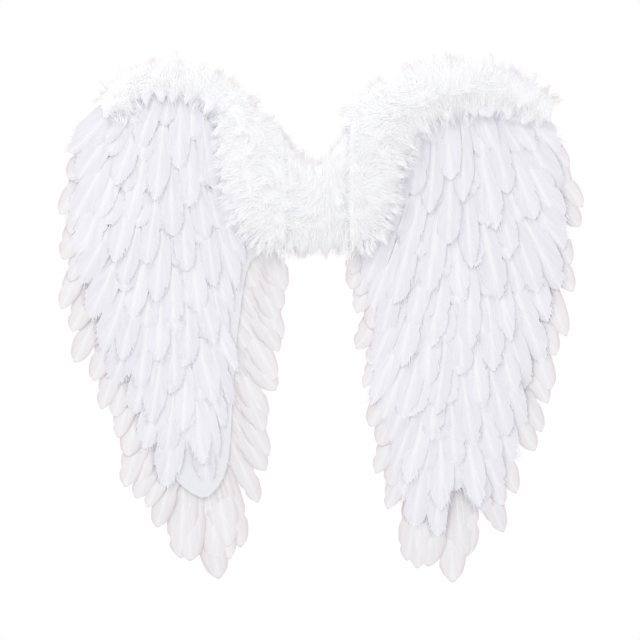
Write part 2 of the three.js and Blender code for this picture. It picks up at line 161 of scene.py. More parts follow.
# One line for each section of down: x and z of its middle, half its width, and its height.
# A wing's are shares of REACH, HEIGHT, DOWN_HALF_WIDTH and DOWN_HEIGHT. The centre's are shares of
# half the panel's width, half its height twice, and DOWN_HEIGHT.
DOWN_HALF_WIDTH = 60 * MM
DOWN_HEIGHT = 30 * MM
RIGHT_DOWN = (
    (0.054, -0.004, 0.92, 0.93), (0.115, 0.004, 0.92, 0.97), (0.154, 0.040, 0.79, 1.00),
    (0.192, 0.101, 0.79, 1.00), (0.246, 0.155, 0.75, 1.00), (0.346, 0.195, 0.65, 0.93),
    (0.462, 0.221, 0.56, 0.87), (0.588, 0.229, 0.50, 0.80), (0.696, 0.218, 0.42, 0.67),
    (0.800, 0.198, 0.33, 0.53), (0.885, 0.172, 0.23, 0.40),
)
LEFT_DOWN = (
    (0.054, -0.004, 0.92, 0.93), (0.131, 0.000, 0.92, 0.97), (0.192, 0.029, 0.88, 1.00),
    (0.231, 0.076, 0.79, 0.97), (0.269, 0.124, 0.65, 0.87), (0.300, 0.158, 0.46, 0.67),
    (0.354, 0.204, 0.31, 0.40), (0.481, 0.235, 0.31, 0.27), (0.615, 0.242, 0.31, 0.23),
    (0.731, 0.219, 0.27, 0.23), (0.815, 0.181, 0.19, 0.20),
)
CENTRE_DOWN = (
    (-1.1, 0.38, 1.42, 0.93), (-0.6, 0.06, 1.13, 1.00), (0.0, -0.04, 1.00, 1.00),
    (0.5, 0.17, 1.21, 1.00), (1.1, 0.60, 1.63, 0.93),
)


class Side(Enum):
    """The side of the pair on which a wing hangs, seen from the feathered face."""

    LEFT = -1.0
    RIGHT = 1.0


class Slot(Enum):
    """Names of some of the record's material slots."""

    FEATHER = "feather"
    DOWN = "down"
    ELASTIC = "elastic"


def linear(colour: str) -> tuple[float, float, float, float]:
    """Turns an sRGB hex colour into the linear values that a shader takes.

    Args:
        colour: Six hex digits after a hash.

    Returns:
        Linear red, green and blue, and an alpha of one.
    """
    def channel(value: float) -> float:
        """Turns one sRGB value between 0 and 1 into its linear value."""
        return value / 12.92 if value <= 0.04045 else ((value + 0.055) / 1.055) ** 2.4

    red, green, blue = (channel(int(colour[i:i + 2], 16) / 255) for i in (1, 3, 5))
    return red, green, blue, 1.0


def add_node(
    owner: bpy.types.ID,
    kind: str,
    settings: dict[str, object] | None = None,
    inputs: dict[str | int, object] | None = None,
) -> bpy.types.Node:
    """Adds a node with its settings, and with its sockets set or linked.

    Args:
        owner: The material or the world whose tree gets the node.
        kind: Blender's name of the node type.
        settings: Values of the node's own properties.
        inputs: For each socket a value, or the output socket that feeds it.

    Returns:
        The new node.
    """
    tree = owner.node_tree
    node = tree.nodes.new(kind)
    for name, value in (settings or {}).items():
        setattr(node, name, value)
    for name, value in (inputs or {}).items():
        if isinstance(value, bpy.types.NodeSocket):
            tree.links.new(value, node.inputs[name])
        else:
            node.inputs[name].default_value = value
    return node


def new_material(name: str) -> bpy.types.Material:
    """Makes an empty node material.

    Args:
        name: The finish's plain name.

    Returns:
        The material, with no nodes in its tree.
    """
    material = bpy.data.materials.new(name)
    material.use_nodes = True
    material.node_tree.nodes.clear()
    return material


def finish_surface(material: bpy.types.Material, inputs: dict[str, object]) -> None:
    """Ends a material's tree with a Principled shader.

    Args:
        material: The material to end.
        inputs: Values and links for the shader's sockets.
    """
    shader = add_node(material, "ShaderNodeBsdfPrincipled", inputs=inputs)
    add_node(material, "ShaderNodeOutputMaterial", inputs={"Surface": shader.outputs["BSDF"]})


@dataclass(frozen=True)
class VaneFinish:
    """Bleached goose feather: keratin barbs zipped into a soft satin vane.

    To the eye it is a cool white with faint streaks that leave the shaft at a slant. Its pale
    middle is partly a painted highlight, and its darker rim is a painted shade.
    """

    name: str
    light: str
    shade: str
    rim: str                        # painted shade on the rim, as if the thin rim let the shade behind it through
    rim_shade_share: float = 0.3          # strength of the rim's painted shade
    barb_pitch: float = 1.1 * MM    # real barbs lie 0.4 mm apart, too fine to show
    streak_pitch: float = 3.2 * MM  # bundles of barbs that cling together
    barb_slope: float = 4.5         # how far a barb runs forwards for each unit outwards
    barb_run: float = 9.0 * MM      # distance outwards over which a streak stays the same
    streak_share: float = 0.4       # how much of the paleness comes from the streaks
    middle_highlight_share: float = 0.35       # and how much from the painted highlight along the middle
    middle_highlight_width: float = 5.0 * MM
    fine_share: float = 0.6         # weight of single barbs beside that of the bundles
    bump_depth: float = 0.2 * MM
    roughness: float = 0.62
    sheen: float = 0.15
    ior: float = 1.55               # keratin

    STREAK_SPAN = (0.55, 1.05)      # values between which both noises together mostly stay
    RIM_SHADE_START = 0.7                 # share of the half width at which the rim's painted shade starts
    SEED_STEP = 37.0                # carries each feather to a stretch of the noise of its own

    def material(self) -> bpy.types.Material:
        """Builds the material. It reads the feather's own UV map, drawn in metres by UV_SCALE.

        Returns:
            The material.
        """
        made = new_material(self.name)
        place = add_node(made, "ShaderNodeUVMap", {"uv_map": FeatherPattern.UV_NAME})
        parts = add_node(made, "ShaderNodeSeparateXYZ", inputs={"Vector": place.outputs["UV"]})
        centred = add_node(made, "ShaderNodeMath", {"operation": "SUBTRACT"},
                           {0: parts.outputs["X"], 1: 0.5})
        outwards = add_node(made, "ShaderNodeMath", {"operation": "ABSOLUTE"},
                            {0: centred.outputs["Value"]})
        slant = add_node(made, "ShaderNodeMath", {"operation": "MULTIPLY"},
                         {0: outwards.outputs["Value"], 1: self.barb_slope})
        barb = add_node(made, "ShaderNodeMath", {"operation": "SUBTRACT"},
                        {0: parts.outputs["Y"], 1: slant.outputs["Value"]})
        seed = add_node(made, "ShaderNodeAttribute", {"attribute_name": FeatherRow.SEED_NAME})
        fine = self._streaks(made, barb, centred, seed, self.barb_pitch)
        broad = self._streaks(made, barb, centred, seed, self.streak_pitch)
        height = add_node(made, "ShaderNodeMath", {"operation": "MULTIPLY_ADD"},
                          {0: fine.outputs["Fac"], 1: self.fine_share, 2: broad.outputs["Fac"]})
        bump = add_node(made, "ShaderNodeBump", inputs={
            "Strength": 0.5, "Distance": self.bump_depth, "Height": height.outputs["Value"]})
        tinted = self._colour(made, height, outwards, seed)
        finish_surface(made, {
            "Base Color": tinted.outputs[2], "Roughness": self.roughness, "IOR": self.ior,
            "Sheen Weight": self.sheen, "Sheen Roughness": 0.5, "Normal": bump.outputs["Normal"]})
        return made

    def _colour(self, made: bpy.types.Material, height: bpy.types.Node, outwards: bpy.types.Node,
                seed: bpy.types.Node) -> bpy.types.Node:
        """Adds up the streaks, the painted highlight along the middle and each feather's own tone,
        and paints shade on the rim.

        Args:
            made: The material.
            height: Node that gives the streaks.
            outwards: Node that gives the distance from the shaft, on either side.
            seed: Node that gives each feather's own number.

        Returns:
            The node that gives the colour.
        """
        low, high = self.STREAK_SPAN
        spread = add_node(made, "ShaderNodeMapRange", inputs={
            "Value": height.outputs["Value"], "From Min": low, "From Max": high,
            "To Max": self.streak_share})
        # Painted highlight and shade: paler along the vane's middle, where it is cambered towards
        # the light, and greyer towards its edges; the barbs are also thicker where they leave the
        # shaft
        crown = add_node(made, "ShaderNodeMapRange", {"interpolation_type": "SMOOTHSTEP"}, {
            "Value": outwards.outputs["Value"],
            "From Max": self.middle_highlight_width * FeatherPattern.UV_SCALE,
            "To Min": self.middle_highlight_share, "To Max": 0.0})
        own = add_node(made, "ShaderNodeMath", {"operation": "MULTIPLY_ADD"}, {
            0: seed.outputs["Fac"], 1: 1 - self.streak_share - self.middle_highlight_share,
            2: crown.outputs["Result"]})
        paleness = add_node(made, "ShaderNodeMath", {"operation": "ADD"},
                            {0: own.outputs["Value"], 1: spread.outputs["Result"]})
        tone = add_node(made, "ShaderNodeMix", {"data_type": "RGBA"}, {
            "Factor": paleness.outputs["Value"], 6: linear(self.shade), 7: linear(self.light)})
        rim = add_node(made, "ShaderNodeAttribute", {"attribute_name": FeatherRow.RIM_NAME})
        # Painted shade: the rim turns greyer and warmer, as if the thin vane let the shade behind
        # it through
        painted_rim_shade = add_node(made, "ShaderNodeMapRange", inputs={
            "Value": rim.outputs["Fac"], "From Min": self.RIM_SHADE_START, "To Max": self.rim_shade_share})
        return add_node(made, "ShaderNodeMix", {"data_type": "RGBA"}, {
            "Factor": painted_rim_shade.outputs["Result"], 6: tone.outputs[2], 7: linear(self.rim)})

    def _streaks(self, made: bpy.types.Material, barb: bpy.types.Node, outwards: bpy.types.Node,
                 seed: bpy.types.Node, pitch: float) -> bpy.types.Node:
        """Adds noise drawn out along the barbs.

        Args:
            made: The material.
            barb: Node that gives the place along the shaft where a barb starts.
            outwards: Node that gives the distance from the shaft.
            seed: Node that gives each feather's own number.
            pitch: Real width of one streak.

        Returns:
            The noise node.
        """
        scale = FeatherPattern.UV_SCALE
        # Barbs cross the map at a slant, so their spacing along the shaft is wider
        spacing = pitch * scale * math.hypot(1, self.barb_slope)
        along = add_node(made, "ShaderNodeMath", {"operation": "DIVIDE"},
                         {0: barb.outputs["Value"], 1: spacing})
        across = add_node(made, "ShaderNodeMath", {"operation": "DIVIDE"},
                          {0: outwards.outputs["Value"], 1: self.barb_run * scale})
        apart = add_node(made, "ShaderNodeMath", {"operation": "MULTIPLY"},
                         {0: seed.outputs["Fac"], 1: self.SEED_STEP})
        vector = add_node(made, "ShaderNodeCombineXYZ", inputs={
            "X": along.outputs["Value"], "Y": across.outputs["Value"], "Z": apart.outputs["Value"]})
        return add_node(made, "ShaderNodeTexNoise", inputs={
            "Vector": vector.outputs["Vector"], "Scale": 1.0, "Detail": 2.0, "Roughness": 0.5})


@dataclass(frozen=True)
class PlainFinish:
    """A finish of fine even mottling without a direction, read in Object coordinates."""

    name: str
    light: str
    shade: str
    roughness: float
    ior: float
    grain: float                # real size of the mottling
    bump_depth: float
    sheen: float = 0.0

    def material(self) -> bpy.types.Material:
        """Builds the material.

        Returns:
            The material.
        """
        made = new_material(self.name)
        place = add_node(made, "ShaderNodeTexCoord")
        noise = add_node(made, "ShaderNodeTexNoise", inputs={
            "Vector": place.outputs["Object"], "Scale": 1 / self.grain,
            "Detail": 3.0, "Roughness": 0.6})
        bump = add_node(made, "ShaderNodeBump", inputs={
            "Strength": 0.6, "Distance": self.bump_depth, "Height": noise.outputs["Fac"]})
        tone = add_node(made, "ShaderNodeMix", {"data_type": "RGBA"}, {
            "Factor": noise.outputs["Fac"], 6: linear(self.shade), 7: linear(self.light)})
        finish_surface(made, {
            "Base Color": tone.outputs[2], "Roughness": self.roughness, "IOR": self.ior,
            "Sheen Weight": self.sheen, "Sheen Roughness": 0.5,
            "Normal": bump.outputs["Normal"]})
        return made


@dataclass(frozen=True)
class DownFinish:
    """Bleached marabou: loose barbs, each a fine flat blade that scatters light evenly.

    To the eye it is the whitest part of the wings, with only faint grey between its locks.
    """

    name: str
    colour: str
    rim: str                        # painted shade on the loose ends with nothing behind them

    def material(self) -> bpy.types.Material:
        """Builds the material. It reads how far each barb stands out past the roll, and paints
        shade on the barbs that do.

        Returns:
            The material.
        """
        made = new_material(self.name)
        past = add_node(made, "ShaderNodeAttribute", {"attribute_name": DownTrim.RIM_NAME})
        # Painted shade: barbs that stand out past the roll turn greyer and warmer
        tone = add_node(made, "ShaderNodeMix", {"data_type": "RGBA"}, {
            "Factor": past.outputs["Fac"], 6: linear(self.colour), 7: linear(self.rim)})
        skin = add_node(made, "ShaderNodeBsdfDiffuse", inputs={
            "Color": tone.outputs[2], "Roughness": 0.0})
        add_node(made, "ShaderNodeOutputMaterial", inputs={"Surface": skin.outputs["BSDF"]})
        return made


@dataclass(frozen=True)
class WovenFinish:
    """Knitted elastic or tape: cords of rubber or cotton with a fine weft across them.

    To the eye it is ribbed lengthwise, matt, with a fine crosswise grain.
    """

    name: str
    light: str
    shade: str
    rib_pitch: float                # spacing of the cords that run lengthwise
    weft_pitch: float
    bump_depth: float
    weft_share: float = 0.4         # relief of the weft beside that of the ribs
    roughness: float = 0.8
    ior: float = 1.5

    def material(self) -> bpy.types.Material:
        """Builds the material. It reads the band's own UV map, drawn in metres by UV_SCALE.

        Returns:
            The material.
        """
        made = new_material(self.name)
        place = add_node(made, "ShaderNodeUVMap", {"uv_map": FeatherPattern.UV_NAME})
        scale = FeatherPattern.UV_SCALE
        ribs = self._wave(made, place, "X", self.rib_pitch * scale)
        weft = self._wave(made, place, "Y", self.weft_pitch * scale)
        height = add_node(made, "ShaderNodeMath", {"operation": "MULTIPLY_ADD"},
                          {0: weft.outputs["Fac"], 1: self.weft_share, 2: ribs.outputs["Fac"]})
        bump = add_node(made, "ShaderNodeBump", inputs={
            "Strength": 0.8, "Distance": self.bump_depth, "Height": height.outputs["Value"]})
        # Painted shade: the low grooves between the cords and threads take the darker colour
        tone = add_node(made, "ShaderNodeMix", {"data_type": "RGBA"}, {
            "Factor": height.outputs["Value"], 6: linear(self.shade), 7: linear(self.light)})
        finish_surface(made, {
            "Base Color": tone.outputs[2], "Roughness": self.roughness, "IOR": self.ior,
            "Normal": bump.outputs["Normal"]})
        return made

    def _wave(self, made: bpy.types.Material, place: bpy.types.Node, direction: str,
              pitch: float) -> bpy.types.Node:
        """Adds an even wave across one direction of the UV map.

        Args:
            made: The material.
            place: The UV node.
            direction: X across the band or Y along it.
            pitch: Spacing of the waves in the UV map.

        Returns:
            The wave node.
        """
        # Blender's bands repeat 20 / (2 pi) times for each unit at a scale of one
        return add_node(made, "ShaderNodeTexWave", {"bands_direction": direction},
                        {"Vector": place.outputs["UV"], "Scale": math.tau / 20 / pitch})


@dataclass(frozen=True)
class Finishes:
    """Every material of the wings, made once."""

    covert: bpy.types.Material
    soft_covert: bpy.types.Material
    fringe: bpy.types.Material
    shaft: bpy.types.Material
    down: bpy.types.Material
    down_core: bpy.types.Material
    felt: bpy.types.Material
    elastic: bpy.types.Material
    tape: bpy.types.Material

    @classmethod
    def made(cls) -> "Finishes":
        """Makes the materials.

        Returns:
            One finish for each material that the wings have.
        """
        return cls(
            # The third colour of each vane is the painted shade of its rim; the fringe hangs in the
            # open and gets the most
            covert=VaneFinish("bleached_goose_covert", "#F6F5FA", "#E2E1E8", "#E4E2E8").material(),
            soft_covert=VaneFinish("bleached_hen_hackle", "#F6F5FA", "#E2E1E8", "#E4E2E8",
                                   barb_pitch=2.2 * MM, roughness=0.7).material(),
            fringe=VaneFinish("bleached_goose_quill_vane", "#F3F1F3", "#E3E1E3", "#DFD3D5",
                              rim_shade_share=0.9).material(),
            # Horn of the shaft, scraped smooth: a faint warm gloss
            shaft=PlainFinish("scraped_feather_shaft", "#F8F7F6", "#F3F2F0", 0.42, 1.55,
                              grain=2 * MM, bump_depth=0.05 * MM).material(),
            # The down's second colour is the painted shade of its loose ends past the roll
            down=DownFinish("bleached_marabou_down", "#FDFDFE", "#F0EAE9").material(),
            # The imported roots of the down: an even, matt white under the loose barbs
            down_core=PlainFinish("packed_marabou_roots", "#FAFAFD", "#F1F1F7", 0.95, 1.5,
                                  grain=3 * MM, bump_depth=0.6 * MM).material(),
            # Needled polyester felt: matt, with short fibres lying every way
            felt=PlainFinish("needled_white_felt", "#F1F1F4", "#E0E1E6", 0.95, 1.5,
                             grain=0.9 * MM, bump_depth=0.35 * MM, sheen=0.3).material(),
            elastic=WovenFinish("knitted_white_elastic", "#F6F6F8", "#DCDDE2",
                                rib_pitch=2.0 * MM, weft_pitch=1.2 * MM,
                                bump_depth=0.35 * MM).material(),
            tape=WovenFinish("woven_cotton_tape", "#F4F4F7", "#E6E6EA",
                             rib_pitch=1.5 * MM, weft_pitch=1.5 * MM,
                             bump_depth=0.2 * MM).material(),
        )


@dataclass
class MeshArrays:
    """A mesh as arrays: places, the corners of its faces, their UVs and material slots."""

    places: np.ndarray
    corners: np.ndarray
    totals: np.ndarray
    uvs: np.ndarray
    slots: np.ndarray

    @classmethod
    def read(cls, piece: bpy.types.Object, slot: int = 0) -> "MeshArrays":
        """Reads an object's mesh.

        Args:
            piece: The object, with a UV map named FeatherPattern.UV_NAME or none.
            slot: The material slot that all its faces get.

        Returns:
            The mesh as arrays.
        """
        mesh = piece.data
        places = np.empty(len(mesh.vertices) * 3)
        mesh.vertices.foreach_get("co", places)
        corners = np.empty(len(mesh.loops), int)
        mesh.loops.foreach_get("vertex_index", corners)
        totals = np.empty(len(mesh.polygons), int)
        mesh.polygons.foreach_get("loop_total", totals)
        uvs = np.zeros(len(corners) * 2)
        layer = mesh.uv_layers.get(FeatherPattern.UV_NAME)
        if layer:
            layer.uv.foreach_get("vector", uvs)
        return cls(places.reshape(-1, 3), corners, totals, uvs.reshape(-1, 2),
                   np.full(len(totals), slot))

    @classmethod
    def joined(cls, parts: Sequence["MeshArrays"]) -> "MeshArrays":
        """Joins several meshes into one.

        Args:
            parts: The meshes, in order.

        Returns:
            One mesh with all their faces.
        """
        firsts = np.cumsum([0] + [len(part.places) for part in parts[:-1]])
        return cls(
            np.concatenate([part.places for part in parts]),
            np.concatenate([part.corners + first for part, first in zip(parts, firsts)]),
            np.concatenate([part.totals for part in parts]),
            np.concatenate([part.uvs for part in parts]),
            np.concatenate([part.slots for part in parts]),
        )

    def piece(self, name: str, materials: Sequence[bpy.types.Material],
              smooth: bool = True) -> bpy.types.Object:
        """Makes an object of the mesh, at the origin.

        Args:
            name: The object's name.
            materials: One material for each slot.
            smooth: Whether faces are shaded as one rounded surface.

        Returns:
            The new object.
        """
        mesh = bpy.data.meshes.new(name)
        mesh.vertices.add(len(self.places))
        mesh.vertices.foreach_set("co", self.places.ravel())
        mesh.loops.add(len(self.corners))
        mesh.loops.foreach_set("vertex_index", self.corners)
        mesh.polygons.add(len(self.totals))
        mesh.polygons.foreach_set("loop_start", np.cumsum(self.totals) - self.totals)
        mesh.polygons.foreach_set("material_index", self.slots)
        mesh.polygons.foreach_set("use_smooth", np.full(len(self.totals), smooth))
        for material in materials:
            mesh.materials.append(material)
        mesh.uv_layers.new(name=FeatherPattern.UV_NAME).uv.foreach_set("vector", self.uvs.ravel())
        mesh.update(calc_edges=True)
        mesh.validate()
        made = bpy.data.objects.new(name, mesh)
        bpy.context.scene.collection.objects.link(made)
        return made


def deselect_all() -> None:
    """Leaves object mode with nothing selected."""
    if bpy.context.object and bpy.context.object.mode != "OBJECT":
        bpy.ops.object.mode_set(mode="OBJECT")
    bpy.ops.object.select_all(action="DESELECT")


def pick(piece: bpy.types.Object, wanted: Callable[[Vector], bool]) -> None:
    """Selects the vertices of the piece in edit mode whose place passes a test.

    Args:
        piece: The object in edit mode.
        wanted: The test.
    """
    shape = bmesh.from_edit_mesh(piece.data)
    for vertex in shape.verts:
        vertex.select = wanted(vertex.co)
    shape.select_flush_mode()
    bmesh.update_edit_mesh(piece.data)


def take_away(piece: bpy.types.Object) -> None:
    """Deletes an object and its mesh, once they have been copied."""
    bpy.data.meshes.remove(piece.data)


def thicken(piece: bpy.types.Object, thickness: float, even: bool = False) -> None:
    """Gives the active flat piece its thickness, half of it to each side.

    Args:
        piece: The piece, in object mode.
        thickness: The thickness.
        even: Whether it stays the same where the piece bends.
    """
    bpy.ops.object.modifier_add(type="SOLIDIFY")
    wall = piece.modifiers[-1]
    wall.thickness = thickness
    wall.offset = 0
    wall.use_even_offset = even
    bpy.ops.object.modifier_apply(modifier=wall.name)


def smoothstep(low: float, high: float, value: np.ndarray) -> np.ndarray:
    """Rises smoothly from 0 at low to 1 at high."""
    t = np.clip((value - low) / (high - low), 0, 1)
    return t * t * (3 - 2 * t)


@dataclass(frozen=True)
class FeatherPattern:
    """One flat feather with its shaft, modelled once and then copied along the rows.

    It lies in the XY plane, with its root at the origin and its tip at +Y.
    Its splits and wisps are where barbs have come unzipped from their neighbours.
    """

    splits: tuple[tuple[float, float], ...]     # side, and share of the length, of each split
    point: float = 0.0              # how much slimmer than the listed stations the tip gets
    length: float = 100 * MM
    half_width: float = 15 * MM
    thickness: float = 0.25 * MM
    columns: int = 8
    shaft_radius: float = 1.1 * MM
    shaft_sides: int = 5
    shaft_tip: float = 0.3          # share of the radius left at the tip
    split_depth: float = 0.17       # share of the half width
    split_back: float = 0.01        # share of the length
    wisps: int = 0                  # loose barb ends that stand out past the open rim
    wisp_width: float = 0.8 * MM
    wisp_length: float = 11.0 * MM
    wisp_lift: float = 0.15 * MM    # most that a wisp's end rises

    WISP_START = (0.4, 0.985)       # shares of the length between which wisps start
    WISP_INSET = (0.8, 0.96)        # and shares of the half width
    WISP_SLOPE = (2.2, 7.0)         # how far they run forwards for each unit outwards
    WISP_PLAY = (0.6, 1.3)          # shares of wisp_length that they have
    WISP_BASE = 0.6                 # share of the thickness at which their roots lie
    WISP_MAP = 0.1                  # how narrowly their map lies beside the shaft
    OVER_VANE = 0.55                # what lies higher than this share of the thickness is no rim
    RIM_TIP = 0.93                  # share of the length at which the tip's rim starts
    POINT_START = 0.55              # and at which a slim tip starts
    TO_SHAFT_END = 0.93             # the shaft ends at this share of the length
    SHAFT_ROOT = -0.04              # and starts at this one, short of the vane's root
    SHAFT_STEPS = 7
    SHAFT_FLATNESS = 0.75

    # Share of the length at the shaft, share of the half width, and how far the rim runs ahead
    STATIONS = (
        (0.00, 0.45, 0.010), (0.05, 0.60, 0.025), (0.11, 0.76, 0.045), (0.18, 0.86, 0.065),
        (0.26, 0.93, 0.080), (0.34, 0.97, 0.088), (0.42, 0.99, 0.092), (0.50, 1.00, 0.094),
        (0.58, 0.99, 0.092), (0.66, 0.96, 0.084), (0.74, 0.90, 0.070), (0.81, 0.82, 0.052),
        (0.87, 0.72, 0.032), (0.92, 0.59, 0.014), (0.96, 0.44, -0.004), (0.985, 0.30, -0.010),
        (1.00, 0.15, -0.008),
    )
    UV_NAME = "Vane"
    UV_SCALE = 5.0                  # one unit of the map is 200 mm
    GRID_TOUCH = 0.01               # what counts as one place on the grid before it has its size

    def model(self) -> MeshArrays:
        """Models the vane and its shaft, copies both as arrays and adds the wisps.

        Returns:
            The feather, with its vane in slot 0 and its shaft in slot 1.
        """
        vane = self._vane()
        shaft = self._shaft()
        parts = [MeshArrays.read(vane), MeshArrays.read(shaft, slot=1)]
        take_away(vane)
        take_away(shaft)
        if self.wisps:
            parts.append(self._wisps())
        return MeshArrays.joined(parts)

    def _wisps(self) -> MeshArrays:
        """Grows loose barb ends out of the rim, each a thin closed spike that slants forwards.

        Returns:
            The wisps, in slot 0.
        """
        rng = np.random.default_rng(self.wisps + int(100 * self.point))
        share = rng.uniform(*self.WISP_START, self.wisps)
        inwards = rng.uniform(*self.WISP_INSET, self.wisps)
        side = rng.choice((-1.0, 1.0), self.wisps)
        along, half, ahead = np.array(self.stations()).T
        root = np.stack([
            side * inwards * np.interp(share, along, half) * self.half_width,
            (share + inwards * np.interp(share, along, ahead)) * self.length,
            np.full(self.wisps, self.WISP_BASE * self.thickness)], axis=1)
        slope = rng.uniform(*self.WISP_SLOPE, self.wisps)
        heading = np.stack([side, slope, np.zeros(self.wisps)], axis=1)
        heading /= np.linalg.norm(heading, axis=1)[:, None]
        across = np.stack([-heading[:, 1], heading[:, 0], heading[:, 2]], axis=1)
        tip = root + heading * self.wisp_length * rng.uniform(*self.WISP_PLAY, (self.wisps, 1))
        tip[:, 2] += rng.uniform(0, self.wisp_lift, self.wisps)
        reach = across * self.wisp_width / 2
        ridge = root + (0, 0, self.thickness)
        places = np.stack([root - reach, root + reach, ridge, tip], axis=1).reshape(-1, 3)
        faces = np.array(((0, 1, 3), (0, 2, 1), (1, 2, 3), (2, 0, 3)))
        corners = (np.arange(self.wisps)[:, None, None] * 4 + faces[None]).ravel()
        # A loose barb takes the painted highlight of the vane's middle, so its map lies beside the
        # shaft
        uvs = places[corners, :2] * (self.WISP_MAP * self.UV_SCALE, self.UV_SCALE) + (0.5, 0)
        count = self.wisps * len(faces)
        return MeshArrays(places, corners, np.full(count, 3), uvs, np.zeros(count, int))

    def stations(self) -> list[tuple[float, float, float]]:
        """Gives the stations with the tip slimmed as this pattern has it."""
        return [(along, half * (1 - self.point * max(0.0, along - self.POINT_START)
                                / (1 - self.POINT_START)), ahead)
                for along, half, ahead in self.STATIONS]

    def _vane(self) -> bpy.types.Object:
        """Extrudes the vane from its root, row by row, and gives it its splits and thickness.

        Returns:
            The vane, with its UV map.
        """
        deselect_all()
        bpy.ops.mesh.primitive_grid_add(x_subdivisions=self.columns, y_subdivisions=1, size=1)
        vane = bpy.context.object
        bpy.ops.object.mode_set(mode="EDIT")
        middle = self.columns // 2
        for column in range(1, middle + 1):
            share = column / middle
            pick(vane, lambda co, share=share: abs(abs(co.x) * 2 - share) < self.GRID_TOUCH)
            bpy.ops.transform.translate(value=(0, share, 0))
        stations = self.stations()
        for row, chosen in enumerate((self._near_row, self._far_row)):
            along, half, ahead = stations[row]
            pick(vane, chosen)
            y = row - 0.5
            bpy.ops.transform.resize(value=(half * self.half_width * 2, ahead * self.length, 1),
                                     center_override=(0, y, 0))
            bpy.ops.transform.translate(value=(0, along * self.length - y, 0))
        for (last_along, last_half, last_ahead), (along, half, ahead) in zip(
                stations[1:], stations[2:]):
            step = (along - last_along) * self.length
            bpy.ops.mesh.extrude_region_move(TRANSFORM_OT_translate={"value": (0, step, 0)})
            bpy.ops.transform.resize(value=(half / last_half, ahead / last_ahead, 1),
                                     center_override=(0, along * self.length, 0))
        for side, share in self.splits:
            self._split(vane, side, share)
        bpy.ops.object.mode_set(mode="OBJECT")
        self.draw_uvs(vane)
        thicken(vane, self.thickness)
        return vane

    @classmethod
    def rim(cls, places: np.ndarray) -> np.ndarray:
        """Tells how near each place of a pattern is to the vane's rim, from 0 to 1.

        Args:
            places: The pattern's places.

        Returns:
            One share for each place, 0 for what lies over the vane: the shaft and the wisps.
        """
        share = places[:, 1] / cls.length
        along, half, _ = np.array(cls.STATIONS).T
        side = np.abs(places[:, 0]) / (np.interp(share, along, half) * cls.half_width)
        rim = np.clip(np.maximum(side, smoothstep(cls.RIM_TIP, 1.0, share)), 0, 1)
        return np.where(places[:, 2] > cls.OVER_VANE * cls.thickness, 0.0, rim)

    @staticmethod
    def _near_row(co: Vector) -> bool:
        """Tells the first row of the folded unit grid."""
        return co.y - abs(co.x) * 2 < 0

    @classmethod
    def _far_row(cls, co: Vector) -> bool:
        """Tells the second row of the folded unit grid, while the first lies near the origin."""
        return abs(co.y - abs(co.x) * 2 - 0.5) < cls.GRID_TOUCH

    def _split(self, vane: bpy.types.Object, side: float, share: float) -> None:
        """Pulls the nearest point of the rim in, as where barbs have come unzipped.

        Args:
            vane: The vane in edit mode.
            side: -1 or 1 for the side of the shaft.
            share: Place along the feather.
        """
        shape = bmesh.from_edit_mesh(vane.data)
        rim = [v for v in shape.verts if v.is_boundary and v.co.x * side > 0]
        nearest = min(rim, key=lambda v: abs(v.co.y - share * self.length))
        spot = nearest.co.copy()
        pick(vane, lambda co: (co - spot).length < TOUCH)
        bpy.ops.transform.translate(value=(
            -spot.x * self.split_depth, -self.split_back * self.length, 0))

    def draw_uvs(self, piece: bpy.types.Object) -> None:
        """Lays the UV map flat on the piece, across and along in metres by UV_SCALE.

        Args:
            piece: The vane or the shaft.
        """
        mesh = piece.data
        layer = mesh.uv_layers.get(self.UV_NAME) or mesh.uv_layers.new(name=self.UV_NAME)
        for loop in mesh.loops:
            co = mesh.vertices[loop.vertex_index].co
            layer.uv[loop.index].vector = (0.5 + co.x * self.UV_SCALE, co.y * self.UV_SCALE)
        for other in [o for o in mesh.uv_layers if o.name != self.UV_NAME]:
            mesh.uv_layers.remove(other)

    def _shaft(self) -> bpy.types.Object:
        """Extrudes the tapering shaft along the middle of the vane.

        Returns:
            The shaft, with its UV map.
        """
        deselect_all()
        start = self.SHAFT_ROOT * self.length
        bpy.ops.mesh.primitive_circle_add(
            vertices=self.shaft_sides, radius=self.shaft_radius, fill_type="NGON",
            location=(0, start, 0), rotation=(math.pi / 2, 0, 0))
        shaft = bpy.context.object
        bpy.ops.object.transform_apply(location=True, rotation=True, scale=True)
        bpy.ops.object.mode_set(mode="EDIT")
        bpy.ops.mesh.select_all(action="SELECT")
        reach = self.TO_SHAFT_END * self.length - start
        ratio = self.shaft_tip ** (1 / self.SHAFT_STEPS)
        for step in range(1, self.SHAFT_STEPS + 1):
            y = start + reach * step / self.SHAFT_STEPS
            bpy.ops.mesh.extrude_region_move(
                TRANSFORM_OT_translate={"value": (0, reach / self.SHAFT_STEPS, 0)})
            bpy.ops.transform.resize(value=(ratio, 1, ratio), center_override=(0, y, 0))
        bpy.ops.mesh.select_all(action="SELECT")
        bpy.ops.transform.resize(value=(1, 1, self.SHAFT_FLATNESS), center_override=(0, 0, 0))
        bpy.ops.mesh.normals_make_consistent(inside=False)
        bpy.ops.object.mode_set(mode="OBJECT")
        self.draw_uvs(shaft)
        return shaft


